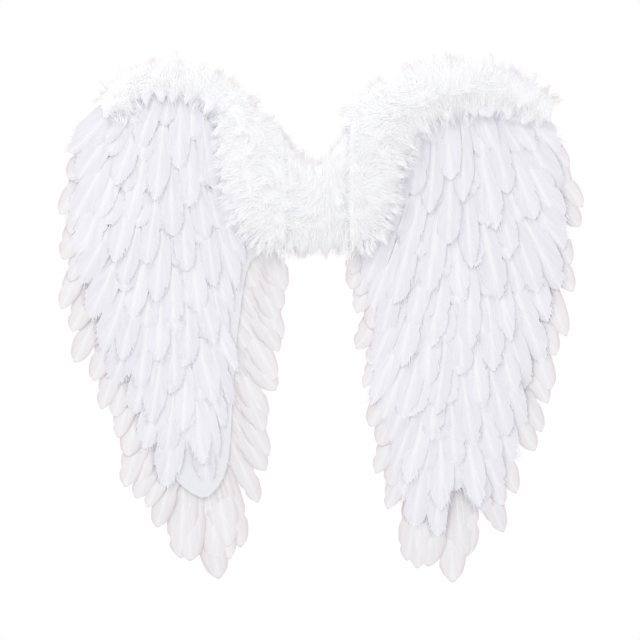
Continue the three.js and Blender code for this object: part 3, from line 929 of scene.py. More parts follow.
@dataclass(frozen=True)
class WingFrame:
    """Where a wing stands.

    Out, rise and depth are measured on it as if it were flat and on the right.
    """

    side: Side

    def place(self, out: np.ndarray, rise: np.ndarray, depth: np.ndarray) -> np.ndarray:
        """Turns places on the wing into places in the frame.

        Args:
            out: Distances from the middle of the pair.
            rise: Heights.
            depth: Distances behind the board's rear face, so negative on the feathered side.

        Returns:
            One row of X, Y and Z for each place.
        """
        sign = self.side.value
        across = sign * (np.asarray(out, float) - PIVOT_X)
        depth = np.asarray(depth, float)
        x = sign * PIVOT_X + math.cos(SWEEP) * across + sign * math.sin(SWEEP) * depth
        y = -sign * math.sin(SWEEP) * across + math.cos(SWEEP) * depth
        return np.stack(np.broadcast_arrays(x, y, np.asarray(rise, float)), axis=-1)

    def flat(self, places: np.ndarray) -> tuple[np.ndarray, np.ndarray]:
        """Turns places in the frame into places on the wing.

        Args:
            places: One row of X, Y and Z for each place.

        Returns:
            The out and the rise of each.
        """
        sign = self.side.value
        across = (math.cos(SWEEP) * (places[:, 0] - sign * PIVOT_X)
                  - sign * math.sin(SWEEP) * places[:, 1])
        return sign * across + PIVOT_X, places[:, 2]


def vary(number: float) -> float:
    """Gives a steady irregularity between -1 and 1 for the item with that number."""
    return math.sin(number * 2.4 + 0.7)


def fall(out: np.ndarray, rise: np.ndarray) -> np.ndarray:
    """How far down the shingled face a place lies."""
    return out * math.sin(SHINGLE) - rise * math.cos(SHINGLE)


@dataclass(frozen=True)
class Shingle:
    """How the covert rows of a wing stand off the board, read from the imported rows."""

    tops: tuple[float, ...]         # fall at which each row starts
    relief: float = 0.4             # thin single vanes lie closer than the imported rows

    @classmethod
    def read(cls, frame: WingFrame, nodes: Sequence[bpy.types.Object]) -> "Shingle":
        """Finds the highest edge of each row.

        Args:
            frame: The wing's place.
            nodes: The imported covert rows, top row first.

        Returns:
            The shingle of that wing.
        """
        tops = []
        for node in nodes:
            places = np.empty(len(node.data.vertices) * 3)
            node.data.vertices.foreach_get("co", places)
            tops.append(float(fall(*frame.flat(places.reshape(-1, 3))).min()))
        return cls(tuple(tops))

    @property
    def slope(self) -> float:
        """Rise of a row off the board for each unit of fall."""
        return (BLADE_THICKNESS + ROW_PLAY) / float(np.diff(self.tops).min())

    def depth(self, row: int, out: np.ndarray, rise: np.ndarray) -> np.ndarray:
        """Depth of the middle of a row's blades at a place."""
        lift = (fall(out, rise) - self.tops[row]) * self.slope * self.relief
        return -(BOARD_THICKNESS + CLEARANCE + BLADE_THICKNESS / 2 + lift)

    def seat(self, out: np.ndarray, rise: np.ndarray) -> np.ndarray:
        """Depth of the face on which the down trim sits."""
        lift = BLADE_THICKNESS + CLEARANCE + (fall(out, rise) - self.tops[0]) * self.slope
        return -(BOARD_THICKNESS + CLEARANCE + np.maximum(0, lift))


@dataclass(frozen=True)
class Feather:
    """Root and tip of one feather, as out and rise, and its width."""

    root: tuple[float, float]
    tip: tuple[float, float]
    width: float
    settled: bool = False           # its open end lies on the fringe or the board


@dataclass
class FeatherRow:
    """A row of feathers glued to a tape, made as one mesh from copies of a few patterns."""

    name: str
    node: str
    frame: WingFrame
    feathers: Sequence[Feather]
    depth: Callable[[np.ndarray, np.ndarray], np.ndarray]
    patterns: Sequence[MeshArrays]
    finish: bpy.types.Material
    seed: int
    camber: float = 1.1 * MM        # crown of a vane over its open end
    hidden_camber: float = 0.3 * MM
    droop: float = 1.0 * MM         # how far pressed edges bend down to the next feather
    tip_droop: float = 2.2 * MM
    settling: float = 3.6 * MM      # how far a settled feather sinks
    forward_bend: float = 0.0       # how far the open end comes forward, past the board's edge
    loose: float = 0.2              # share of the feathers whose right edge stands free
    roll: float = math.radians(2.0)  # lifts each feather's right edge over its neighbour
    tip_lift: float = 0.4 * MM      # most that a tip stands up by itself
    sway: float = 4.5 * MM          # most that a tip bends sideways
    lean_play: float = math.radians(5.0)
    length_play: float = 0.12
    open_from: float = 0.45         # share of the length where the open end starts
    ripple: float = 0.25 * MM       # waves along the open rims
    tape_width: float = 9 * MM
    tape_thickness: float = 0.5 * MM

    SEED_NAME = "feather_seed"
    RIM_NAME = "feather_rim"
    # Least and most that a feather's own sizes are multiplied by
    WIDTH_PLAY = (0.85, 1.08)
    CAMBER_PLAY = (0.7, 1.2)
    DROOP_PLAY = (0.8, 1.2)
    ROLL_PLAY = (0.8, 1.15)
    LONGER = 0.2                    # share of length_play by which a feather may be longer
    RIPPLES = (16, 24)              # radians of the rim's waves from root to tip
    # Shares of the length between which each bend grows to its whole
    OPEN_TO = 0.92
    DROOP_FROM = 0.8
    ROLL_TO = 0.25
    LIFT_FROM = 0.55
    FORWARD_SPAN = (0.4, 0.75)
    SETTLING_FROM = 0.45
    TAPE_START = 0.4                # share of its thickness at which the tape lies behind the roots
    CREASE = math.radians(50)       # faces that meet more sharply than this are not smoothed

    def build(self, finishes: Finishes) -> bpy.types.Object:
        """Makes the row, with its tape.

        Args:
            finishes: The wings' materials.

        Returns:
            The finished piece.
        """
        rng = np.random.default_rng(self.seed)
        copies, seeds, rims = [], [], []
        for feather in self.feathers:
            pattern = self.patterns[int(rng.integers(len(self.patterns)))]
            copies.append(self._laid(feather, pattern, rng))
            seeds.append(np.full(len(pattern.places), rng.random()))
            rims.append(FeatherPattern.rim(pattern.places))
        tape = self._tape()
        copies.append(tape)
        seeds.append(np.zeros(len(tape.places)))
        rims.append(np.zeros(len(tape.places)))
        made = MeshArrays.joined(copies).piece(
            self.name, [self.finish, finishes.shaft, finishes.tape])
        for name, values in ((self.SEED_NAME, seeds), (self.RIM_NAME, rims)):
            layer = made.data.attributes.new(name, "FLOAT", "POINT")
            layer.data.foreach_set("value", np.concatenate(values))
        deselect_all()
        made.select_set(True)
        bpy.context.view_layer.objects.active = made
        bpy.ops.object.shade_smooth_by_angle(angle=self.CREASE)
        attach(made, BODY)
        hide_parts(self.node)
        faces = len(made.data.polygons)
        log.info("%s: %d feathers, %d faces", self.name, len(self.feathers), faces)
        return made

    def _laid(self, feather: Feather, pattern: MeshArrays, rng: np.random.Generator) -> MeshArrays:
        """Copies a pattern to a feather's place and bends it as it lies.

        Args:
            feather: Where the feather is.
            pattern: The flat feather to copy.
            rng: The row's random numbers.

        Returns:
            The copy.
        """
        root = np.array(feather.root)
        along = np.array(feather.tip) - root
        lean = rng.uniform(-self.lean_play, self.lean_play)
        turn = np.array([[math.cos(lean), -math.sin(lean)], [math.sin(lean), math.cos(lean)]])
        longer = self.LONGER * self.length_play
        along = turn @ along * (1 + rng.uniform(-self.length_play, longer))
        length = float(np.hypot(*along))
        spot, sideways, forward, off = self._directions(root, along)
        shape = FeatherPattern(splits=())
        width = feather.width * rng.uniform(*self.WIDTH_PLAY)
        x = pattern.places[:, 0] * width / (2 * shape.half_width)
        y = pattern.places[:, 1] * length / shape.length
        share = y / length
        right = x * math.copysign(1.0, sideways[0])
        edge = np.clip(np.abs(2 * x / width), 0, 1)
        z = pattern.places[:, 2] + self._bend(right, edge, share, rng)
        if feather.settled:
            z -= self.settling * smoothstep(self.SETTLING_FROM, 1.0, share)
        x = x + self.sway * rng.uniform(-1, 1) * share ** 2
        places = spot + np.outer(x, sideways) + np.outer(y, forward) + np.outer(z, off)
        return MeshArrays(places, pattern.corners, pattern.totals, pattern.uvs, pattern.slots)

    def _directions(self, root: np.ndarray, along: np.ndarray) -> tuple[np.ndarray, ...]:
        """Finds how a feather lies in the frame.

        Args:
            root: Out and rise of its root.
            along: Out and rise from its root to its tip.

        Returns:
            Its root, and the directions across it, towards its tip and off its face.
        """
        across = np.array([-along[1], along[0]]) / float(np.hypot(*along))
        ends = np.array([root, root + along, root + across])
        spots = self.frame.place(ends[:, 0], ends[:, 1], self.depth(ends[:, 0], ends[:, 1]))
        forward = spots[1] - spots[0]
        forward /= np.linalg.norm(forward)
        sideways = spots[2] - spots[0]
        sideways -= forward * (sideways @ forward)
        sideways /= np.linalg.norm(sideways)
        off = np.cross(sideways, forward)
        if off[1] > 0:
            sideways, off = -sideways, -off
        return spots[0], sideways, forward, off

    def _bend(self, right: np.ndarray, edge: np.ndarray, share: np.ndarray,
              rng: np.random.Generator) -> np.ndarray:
        """Finds how far each place of a feather stands off the flat.

        Args:
            right: Distance from the shaft, positive towards the right edge.
            edge: Distance from the shaft on either side, as a share of the half width.
            share: Place along the feather.
            rng: The row's random numbers.

        Returns:
            One height for each place.
        """
        opened = smoothstep(self.open_from, self.OPEN_TO, share)
        crown = self.camber * rng.uniform(*self.CAMBER_PLAY)
        height = (self.hidden_camber + (crown - self.hidden_camber) * opened) * (1 - edge ** 2)
        # The left edge lies under its neighbour and is always pressed; a free right edge is not
        pressed = np.where(right < 0, 1.0, float(rng.random() > self.loose))
        height -= pressed * rng.uniform(*self.DROOP_PLAY) * opened * np.maximum(
            self.droop * edge ** 3, self.tip_droop * smoothstep(self.DROOP_FROM, 1.0, share))
        tilt = math.tan(self.roll * rng.uniform(*self.ROLL_PLAY))
        height += right * tilt * smoothstep(0, self.ROLL_TO, share)
        height += self.tip_lift * rng.uniform(0, 1) * smoothstep(self.LIFT_FROM, 1.0, share)
        wave = np.sin(share * rng.uniform(*self.RIPPLES) + rng.uniform(0, math.tau))
        height += self.ripple * edge * wave * opened
        return height + self.forward_bend * smoothstep(*self.FORWARD_SPAN, share)

    def _tape(self) -> MeshArrays:
        """Lays a thin tape over the roots, behind the blades.

        Returns:
            The tape, in slot 2.
        """
        line = np.array([feather.root for feather in self.feathers])
        heading = np.gradient(line, axis=0)
        heading /= np.linalg.norm(heading, axis=1)[:, None]
        across = np.stack([-heading[:, 1], heading[:, 0]], axis=1) * self.tape_width / 2
        run = np.concatenate([[0], np.cumsum(np.linalg.norm(np.diff(line, axis=0), axis=1))])
        rings = []
        for side, layer in ((-1, 0), (1, 0), (1, 1), (-1, 1)):
            edge = line + side * across
            back = self.tape_thickness * (self.TAPE_START + layer)
            depth = self.depth(edge[:, 0], edge[:, 1]) + back
            rings.append(self.frame.place(edge[:, 0], edge[:, 1], depth))
        return banded(np.stack(rings, axis=1), run, self.tape_width, slot=2)


def banded(rings: np.ndarray, run: np.ndarray, width: float, slot: int) -> MeshArrays:
    """Makes a closed band through rings of four corners, with its outer faces turned outwards.

    Args:
        rings: Places, by ring and corner.
        run: Distance along the band at each ring.
        width: The band's width, for its UV map.
        slot: The material slot of all its faces.

    Returns:
        The band.
    """
    count = len(rings)
    places = rings.reshape(-1, 3)
    faces = []
    for i in range(count - 1):
        for k in range(4):
            a, b = i * 4 + k, i * 4 + (k + 1) % 4
            faces.append((a, b, b + 4, a + 4))
    last = (count - 1) * 4
    faces += [(3, 2, 1, 0), (last, last + 1, last + 2, last + 3)]
    corners = np.array(faces)
    if signed_volume(places, corners) < 0:
        corners = corners[:, ::-1]
    scale = FeatherPattern.UV_SCALE
    across = np.array([-0.5, 0.5, 0.5, -0.5])[corners % 4] * width
    along = run[corners // 4]
    uvs = np.stack([0.5 + across * scale, along * scale], axis=-1).reshape(-1, 2)
    return MeshArrays(
        places, corners.ravel(), np.full(len(faces), 4), uvs, np.full(len(faces), slot))


def signed_volume(places: np.ndarray, corners: np.ndarray) -> float:
    """Measures six times the volume inside some faces.

    Args:
        places: Places of the corners.
        corners: Three or four corners for each face.

    Returns:
        The measure, negative if the faces are inside out.
    """
    a, b, c = (places[corners[:, k]] for k in range(3))
    volume = np.einsum("ij,ij->i", a, np.cross(b, c)).sum()
    if corners.shape[1] == 4:
        a, b, c = (places[corners[:, k]] for k in (0, 2, 3))
        volume += np.einsum("ij,ij->i", a, np.cross(b, c)).sum()
    return float(volume)


def spline(points: np.ndarray, share: np.ndarray) -> np.ndarray:
    """Follows a smooth curve through points.

    Args:
        points: The points, one in each row.
        share: Places along the curve, from 0 to 1.

    Returns:
        One point for each place.
    """
    place = np.clip(share, 0, 1) * (len(points) - 1)
    first = np.minimum(place.astype(int), len(points) - 2)
    t = (place - first)[:, None]
    before = points[np.maximum(first - 1, 0)]
    start, end = points[first], points[first + 1]
    after = points[np.minimum(first + 2, len(points) - 1)]
    slope_in, slope_out = (end - before) / 2, (after - start) / 2
    return ((2 * start - 2 * end + slope_in + slope_out) * t ** 3
            + (-3 * start + 3 * end - 2 * slope_in - slope_out) * t ** 2 + slope_in * t + start)


def on_surface(surfaces: Sequence[BVHTree], places: np.ndarray, start: float = 0.3) -> np.ndarray:
    """Moves places forwards or back onto the front of some surfaces, where there is any.

    Args:
        surfaces: The surfaces.
        places: Places in the frame.
        start: Distance in front of the wings from which the surfaces are looked for.

    Returns:
        The moved places; one that no surface stands behind stays as it was.
    """
    moved = places.copy()
    for i, (x, _, z) in enumerate(places):
        spots = [surface.ray_cast(Vector((x, -start, z)), Vector((0, 1, 0)))[0]
                 for surface in surfaces]
        found = [spot.y for spot in spots if spot]
        if found:
            moved[i, 1] = min(found)
    return moved


@dataclass
class DownTrim:
    """A roll of marabou down: packed roots, and thousands of loose barbs combed over them."""

    name: str
    node: str
    rows: np.ndarray                # the roll's middle line and size: out, rise, half width, height
    place: Callable[[np.ndarray, np.ndarray, np.ndarray], np.ndarray]
    seat: Callable[[np.ndarray, np.ndarray], np.ndarray]
    inner_end: float                # least distance out
    outer_end: float
    tufts: int
    seed: int
    upright: bool = False           # the roll is measured straight up, not across its line
    barbs_per_tuft: int = 9
    blade_width: float = 0.9 * MM   # a barb with its own fine hairs
    blade_thickness: float = 0.25 * MM
    blade_roll: float = math.radians(22)
    length: float = 22 * MM
    rim_tufts: float = 0.34         # share of the tufts that stand out along the rims
    root_scatter: float = 3.2 * MM
    tip_scatter: float = 2.2 * MM
    curl: float = 3.0 * MM          # how far a tuft bends out of its straight line
    arch: float = 2.4 * MM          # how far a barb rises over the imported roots
    joint_run: float = 50 * MM      # length over which barbs turn towards the joint
    joint_extra: float = 0.0        # share of barbs added there
    overhang: float = 10 * MM       # how far barbs stand out past the roll's upper rim
    low_overhang: float = 19 * MM   # and past its lower rim, over the feathers
    end_reach: float = 8 * MM       # how far they reach along it past its outer end
    core_cell: float = 3.0 * MM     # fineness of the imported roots
    core_smoothing: int = 14
    core_plump: float = 2.0 * MM    # gives back what the smoothing takes

    # Share of the half width from the middle line, and share of the roll's height there
    RISE_ACROSS = ((0.0, 1.0), (0.3, 1.0), (0.8, 0.6), (1.0, 0.1))
    STATIONS = (0.0, 0.35, 0.7, 1.0)  # places along a barb
    ARCH = (-0.2, 0.8, 1.0, 0.8)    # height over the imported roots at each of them
    TAPER = (1.0, 0.85, 0.5)        # share of the blade's width at each before the point
    RING_CORNERS = (3, 3, 3, 1)     # corners of a barb at each station
    RIM_NAME = "down_rim"
    # Waves of the lie of the down: per metre along and across, and their share
    WAVES = ((19.0, 23.0, 1.0), (37.0, -29.0, 0.6), (-53.0, 61.0, 0.35))
    SWIRL = 1.3                     # how far the waves turn it
    EDGE_SPAN = (0.35, 0.85)        # share of the half width between which it turns outwards
    END_SPAN = (0.93, 1.0)          # share of the length between which it turns to the outer end
    END_PULL = 1.2
    JOINT_PULL = 1.6                # how strongly it turns to the joint in the middle of the roll
    RIM_PULL_LESS = 1.2             # and how much less at its rims
    TABLE_STEPS = 400               # fineness at which the roll is measured
    RIM_SIDE = (0.86, 1.0)          # where the tufts of a rim have their tips
    OUT_FROM = 0.8                  # share of the half width from which they stand out past it
    LONGEST = 0.9                   # longest tuft as a share of the roll's half width
    RIM_SHADE_SPAN = (0.9, 1.25)         # share of the half width between which the rim's painted shade grows
    # Least and most that the overhang, the length and the arch are multiplied by
    OUT_PLAY = (0.5, 1.1)
    LENGTH_PLAY = (0.8, 1.1)
    ARCH_PLAY = (0.3, 1.2)

    def core(self, frame: dict, finishes: Finishes) -> BVHTree:
        """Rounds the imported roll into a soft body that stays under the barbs.

        Args:
            finishes: The wings' materials.

        Returns:
            The rounded surface, on which barbs are laid.
        """
        node = frame["nodes"][self.node]
        dress(node, finishes.down_core)
        cells = node.modifiers.new("Cells", "REMESH")
        cells.mode = "VOXEL"
        cells.voxel_size = self.core_cell
        cells.use_smooth_shade = True
        smooth = node.modifiers.new("Smooth", "SMOOTH")
        smooth.iterations = self.core_smoothing
        plump = node.modifiers.new("Plump", "DISPLACE")
        plump.mid_level = 0.0
        plump.strength = self.core_plump
        bpy.context.view_layer.update()
        return BVHTree.FromObject(node, bpy.context.evaluated_depsgraph_get())

    def comb(self, cores: Sequence[BVHTree], finishes: Finishes) -> bpy.types.Object:
        """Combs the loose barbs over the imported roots, as one mesh.

        Args:
            cores: The rounded surfaces of this trim and its neighbours.
            finishes: The wings' materials.

        Returns:
            The piece that holds the barbs.
        """
        rng = np.random.default_rng(self.seed)
        paths, past = self._paths(cores, rng)
        made = self._barbs(paths, rng).piece(self.name, [finishes.down], smooth=False)
        layer = made.data.attributes.new(self.RIM_NAME, "FLOAT", "POINT")
        layer.data.foreach_set("value", np.repeat(past, self.RING_CORNERS, axis=1).ravel())
        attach(made, BODY)
        log.info("%s: %d barbs, %d faces", self.name, len(paths), len(made.data.polygons))
        return made

    def _along(self, share: np.ndarray) -> tuple[np.ndarray, np.ndarray, np.ndarray, np.ndarray]:
        """Measures the roll at places along it.

        Args:
            share: The places, from 0 to 1.

        Returns:
            The middle line, the direction across, the half width and the height at each.
        """
        middle = spline(self.rows[:, :2], share)
        step = 1e-3
        heading = spline(self.rows[:, :2], share + step) - spline(self.rows[:, :2], share - step)
        heading /= np.linalg.norm(heading, axis=1)[:, None]
        across = np.stack([-heading[:, 1], heading[:, 0]], axis=1)
        if self.upright:
            across = np.broadcast_to((0.0, 1.0), across.shape)
        steps = np.linspace(0, 1, len(self.rows))
        return (middle, across, np.interp(share, steps, self.rows[:, 2]),
                np.interp(share, steps, self.rows[:, 3]))

    def _spread(self, rng: np.random.Generator) -> tuple[np.ndarray, np.ndarray]:
        """Spreads the tufts evenly over the roll, with more of them along its rims.

        Args:
            rng: The trim's random numbers.

        Returns:
            Each tuft's place along the roll and its side, from -1 to 1.
        """
        table = np.linspace(0, 1, self.TABLE_STEPS)
        middle, _, half_width, _ = self._along(table)
        length = np.linalg.norm(np.gradient(middle, axis=0), axis=1)
        at_joint = 1 - smoothstep(self.inner_end, self.inner_end + self.joint_run, middle[:, 0])
        weight = np.cumsum(half_width * length * (1 + self.joint_extra * at_joint))
        even = (np.arange(self.tufts) + rng.uniform(0, 1, self.tufts)) / self.tufts
        share = np.interp(even, weight / weight[-1], table)
        side = rng.uniform(-1, 1, self.tufts)
        at_rim = rng.random(self.tufts) < self.rim_tufts
        side = np.where(at_rim, np.sign(side) * rng.uniform(*self.RIM_SIDE, self.tufts), side)
        middle, across, half_width, _ = self._along(share)
        out = middle[:, 0] + across[:, 0] * side * half_width
        kept = (out >= self.inner_end) & (out <= self.outer_end)
        return share[kept], side[kept]

    def _lie(self, tip: np.ndarray, across: np.ndarray, side: np.ndarray,
             share: np.ndarray) -> np.ndarray:
        """Finds the way each tuft is combed: outwards at the rims and in soft swirls between.

        Args:
            tip: Out and rise of the tips.
            across: Direction across the roll.
            side: Side of each tuft, from -1 to 1.
            share: Place along the roll.

        Returns:
            One direction for each tuft.
        """
        along = np.stack([across[:, 1], -across[:, 0]], axis=1)
        turn = sum(weight * np.sin(tip[:, 0] * kx + tip[:, 1] * kz + number)
                   for number, (kx, kz, weight) in enumerate(self.WAVES))
        turn = (turn * self.SWIRL)[:, None]
        swirl = along * np.cos(turn) + across * np.sin(turn)
        outwards = across * np.sign(side)[:, None]
        at_rim = smoothstep(*self.EDGE_SPAN, np.abs(side))[:, None]
        lie = swirl * (1 - at_rim) + outwards * at_rim
        if not self.upright:
            at_end = smoothstep(*self.END_SPAN, share)[:, None]
            at_joint = 1 - smoothstep(self.inner_end, self.inner_end + self.joint_run, tip[:, 0])
            inwards = at_joint[:, None] * (self.JOINT_PULL - self.RIM_PULL_LESS * at_rim)
            lie = lie + along * at_end * self.END_PULL - along * inwards
        return lie / (np.linalg.norm(lie, axis=1)[:, None] + 1e-9)

    def _tufts(self, rng: np.random.Generator) -> tuple[np.ndarray, ...]:
        """Finds where each tuft lies on the flat roll.

        Args:
            rng: The trim's random numbers.

        Returns:
            For each tuft its place along the roll, its root, its tip and its bend aside.
        """
        share, side = self._spread(rng)
        count = len(share)
        middle, across, half_width, _ = self._along(share)
        reach = np.where(side > 0, self.overhang, -self.low_overhang)
        past = reach * smoothstep(self.OUT_FROM, 1.0, np.abs(side))
        past = past * rng.uniform(*self.OUT_PLAY, count)
        tip = middle + across * (side * half_width + past)[:, None]
        if not self.upright:
            along = np.stack([across[:, 1], -across[:, 0]], axis=1)
            tip += along * (self.end_reach * smoothstep(*self.END_SPAN, share))[:, None]
        lie = self._lie(tip, across, side, share)
        length = np.minimum(self.length, self.LONGEST * half_width)
        length = length * rng.uniform(*self.LENGTH_PLAY, count)
        root = tip - lie * length[:, None]
        bend = np.stack([-lie[:, 1], lie[:, 0]], axis=1) * rng.normal(0, self.curl, count)[:, None]
        return share, root, tip, bend

    def _paths(self, cores: Sequence[BVHTree],
               rng: np.random.Generator) -> tuple[np.ndarray, np.ndarray]:
        """Finds the course of every barb.

        Args:
            cores: The surfaces on which the barbs lie.
            rng: The trim's random numbers.

        Returns:
            Places by barb and station, and how far each stands out past the roll, from 0 to 1.
        """
        share, root, tip, bend = self._tufts(rng)
        tuft = np.repeat(np.arange(len(share)), self.barbs_per_tuft)
        count = len(tuft)
        tips = tip[tuft] + rng.normal(0, self.tip_scatter, (count, 2))
        roots = root[tuft] + rng.normal(0, self.root_scatter, (count, 2))
        # Single barbs bend aside a third as much as their tuft
        knees = (tips + roots) / 2 + bend[tuft] + rng.normal(0, self.curl / 3, (count, 2))
        t = np.array(self.STATIONS)[None, :, None]
        flat = ((1 - t) ** 2 * roots[:, None] + 2 * t * (1 - t) * knees[:, None]
                + t ** 2 * tips[:, None])

        middle, across, half_width, height = (values[tuft, None] for values in self._along(share))
        upwards = np.sum((flat - middle) * across, axis=2)
        off = np.abs(upwards)
        profile = np.array(self.RISE_ACROSS)
        top = height * np.interp(off / half_width, profile[:, 0], profile[:, 1])
        out, rise = flat[..., 0], flat[..., 1]
        guess = self.place(out, rise, self.seat(out, rise) - top)
        laid = on_surface(cores, guess.reshape(-1, 3)).reshape(guess.shape)
        lift = rng.uniform(*self.ARCH_PLAY, count)[:, None] * np.array(self.ARCH) * self.arch
        laid[..., 1] -= lift
        # How far a barb stands past the rim sets its painted shade
        past_rim = (off if self.upright else upwards) / half_width
        return laid, smoothstep(*self.RIM_SHADE_SPAN, past_rim)

    def _barbs(self, paths: np.ndarray, rng: np.random.Generator) -> MeshArrays:
        """Gives each course a thin blade that lies flat and tapers to a point.

        Args:
            paths: Places by barb and station.
            rng: The trim's random numbers.

        Returns:
            All barbs in one mesh.
        """
        count, stations = paths.shape[:2]
        heading = np.gradient(paths, axis=1)
        heading /= np.linalg.norm(heading, axis=2)[..., None] + 1e-12
        flat_side = np.cross(heading, np.array([0.0, 1.0, 0.0]))
        flat_side /= np.linalg.norm(flat_side, axis=2)[..., None] + 1e-12
        behind = np.cross(flat_side, heading)
        roll = rng.normal(0, self.blade_roll, (count, 1, 1))
        edge = flat_side * np.cos(roll) + behind * np.sin(roll)
        back = behind * np.cos(roll) - flat_side * np.sin(roll)
        # Three corners at each station, two for the flat side and one for the ridge behind it
        rings = []
        for station in range(stations - 1):
            half = self.blade_width / 2 * self.TAPER[station]
            middle = paths[:, station]
            rings += [middle - half * edge[:, station], middle + half * edge[:, station],
                      middle + self.blade_thickness * back[:, station]]
        rings.append(paths[:, -1])
        places = np.stack(rings, axis=1)
        # Four-cornered sides, then the root's end and the three faces that meet in the point
        last = (stations - 2) * 3
        point = last + 3
        sides = [(first + k, first + (k + 1) % 3, first + (k + 1) % 3 + 3, first + k + 3)
                 for first in range(0, last, 3) for k in range(3)]
        ends = [(2, 1, 0)] + [(last + k, last + (k + 1) % 3, point) for k in range(3)]
        starts = np.arange(count)[:, None] * (point + 1)
        corners = np.concatenate([
            starts + np.array(sides).ravel()[None], starts + np.array(ends).ravel()[None]], axis=1)
        totals = np.tile([4] * len(sides) + [3] * len(ends), (count, 1))
        flat = places.reshape(-1, 3)
        if signed_volume(flat, corners[:, len(sides) * 4:].reshape(-1, 3)) < 0:
            log.warning("%s is inside out", self.name)
        return MeshArrays(flat, corners.ravel(), totals.ravel(),
                          np.zeros((corners.size, 2)), np.zeros(totals.size, int))


@dataclass
class Wing:
    """One wing: its felt board, its rows of coverts, its fringes and its down trim."""

    side: Side
    coverts: Sequence[Sequence[float]]
    covert_length: float
    covert_width: float
    outer: Sequence[Sequence[float]]
    inner: Sequence[Sequence[float]]
    tip: Sequence[Sequence[float]]
    down: Sequence[Sequence[float]]
    down_tufts: int
    seed: int
    loose: float                    # share of the coverts whose right edge stands free
    wisps: int                      # loose barb ends of a covert
    fringe_width: float = 30 * MM
    tip_width: float = 40 * MM
    # How much slimmer each feather pattern's tip is, and its splits
    patterns: Sequence[tuple[float, tuple[tuple[float, float], ...]]] = (
        (0.0, ((1, 0.70), (-1, 0.55))), (0.45, ((-1, 0.80),)), (0.2, ((1, 0.62), (1, 0.88))),
        (0.6, ()), (0.1, ((-1, 0.66), (1, 0.78))), (0.35, ((-1, 0.50), (-1, 0.86))),
    )

    FRINGE_SEED = 50                # added to the wing's seed for its fringes
    DOWN_SEED = 80                  # and for its down

    def build(self, frame: dict, finishes: Finishes) -> None:
        """Dresses the wing.

        Args:
            finishes: The wings' materials.
        """
        coverts = [FeatherPattern(splits, point, wisps=self.wisps).model()
                   for point, splits in self.patterns]
        quills = [FeatherPattern(splits, point).model() for point, splits in self.patterns[::2]]
        name = self.side.name.lower()
        place = WingFrame(self.side)
        nodes = frame["nodes"]
        dress(nodes[f"{name}_board"], finishes.felt)
        shingle = self._shingle(frame)
        vane = finishes.covert if self.side is Side.RIGHT else finishes.soft_covert
        for i, row in enumerate(self.coverts):
            FeatherRow(f"{name}_covert_feathers_{i + 1}", f"{name}_covert_{i + 1}", place,
                       self._covert_feathers(dict(zip(COVERT_COLUMNS, row)), i),
                       lambda out, rise, i=i: shingle.depth(i, out, rise),
                       coverts, vane, self.seed + i, loose=self.loose).build(finishes)
        layer = CLEARANCE + BLADE_THICKNESS
        for i, (piece, rows, width, behind) in enumerate((
                ("outer_fringe", self.outer, self.fringe_width, CLEARANCE),
                ("inner_fringe", self.inner, self.fringe_width, CLEARANCE),
                ("tip_fringe", self.tip, self.tip_width, CLEARANCE + layer))):
            middle = behind + BLADE_THICKNESS / 2
            FeatherRow(f"{name}_{piece}_feathers", f"{name}_{piece}", place,
                       self._fringe_feathers(rows, width),
                       lambda out, rise, middle=middle: np.full(np.shape(out), middle),
                       quills, finishes.fringe, self.seed + self.FRINGE_SEED + i,
                       camber=1.2 * MM, hidden_camber=0.2 * MM, tip_lift=0.6 * MM,
                       droop=0.4 * MM, tip_droop=0.5 * MM, forward_bend=3 * MM,
                       length_play=0.02).build(finishes)

    def trim(self, frame: dict) -> DownTrim:
        """Gives the wing's roll of down.


        Returns:
            The trim, not built yet.
        """
        name = self.side.name.lower()
        place = WingFrame(self.side)
        shingle = self._shingle(frame)
        table = np.array(self.down) * [REACH, HEIGHT, DOWN_HALF_WIDTH, DOWN_HEIGHT]
        return DownTrim(f"{name}_down_barbs", f"{name}_down", table, place.place, shingle.seat,
                        PIVOT_X - JOINT_LAP, REACH, self.down_tufts, self.seed + self.DOWN_SEED,
                        joint_extra=1.0)

    def _shingle(self, frame: dict) -> Shingle:
        """Reads how the wing's covert rows stand off the board."""
        name = self.side.name.lower()
        return Shingle.read(WingFrame(self.side), [
            frame["nodes"][f"{name}_covert_{i + 1}"] for i in range(len(self.coverts))])

    def _covert_feathers(self, row: dict[str, float], number: int) -> list[Feather]:
        """Spreads the feathers of a row along its bowed line of tips.

        Args:
            row: The row's sizes by column.
            number: The row's place from the top, which sets the feathers that stay short.

        Returns:
            The feathers from the inner end outwards.
        """
        feathers = []
        count = int(row["count"])
        for i in range(count):
            t = i / (count - 1)
            x, z, lean = (float(np.interp(t, (0, 1), (row[f"inner_{what}"], row[f"outer_{what}"])))
                          for what in ("x", "z", "lean"))
            lean = math.radians(lean)
            x *= REACH
            z = (z - row["sag"] * 4 * t * (1 - t)) * HEIGHT
            root = (x - math.sin(lean) * self.covert_length,
                    z + math.cos(lean) * self.covert_length)
            under = (i + number) % 2 == 1 and 0 < i < count - 1
            trim = self.covert_length * (
                -UNDER_TRIM if under else TIP_VARIATION * vary(i + row["outer_lean"]))
            tip = (x + math.sin(lean) * trim, z - math.cos(lean) * trim)
            width = self.covert_width * (END_WIDTH if i == count - 1 else 1)
            # A row's two ends and the whole lowest row sink onto the fringe or the board
            settled = i in (0, count - 1) or number == len(self.coverts) - 1
            feathers.append(Feather(root, tip, width, settled))
        return feathers

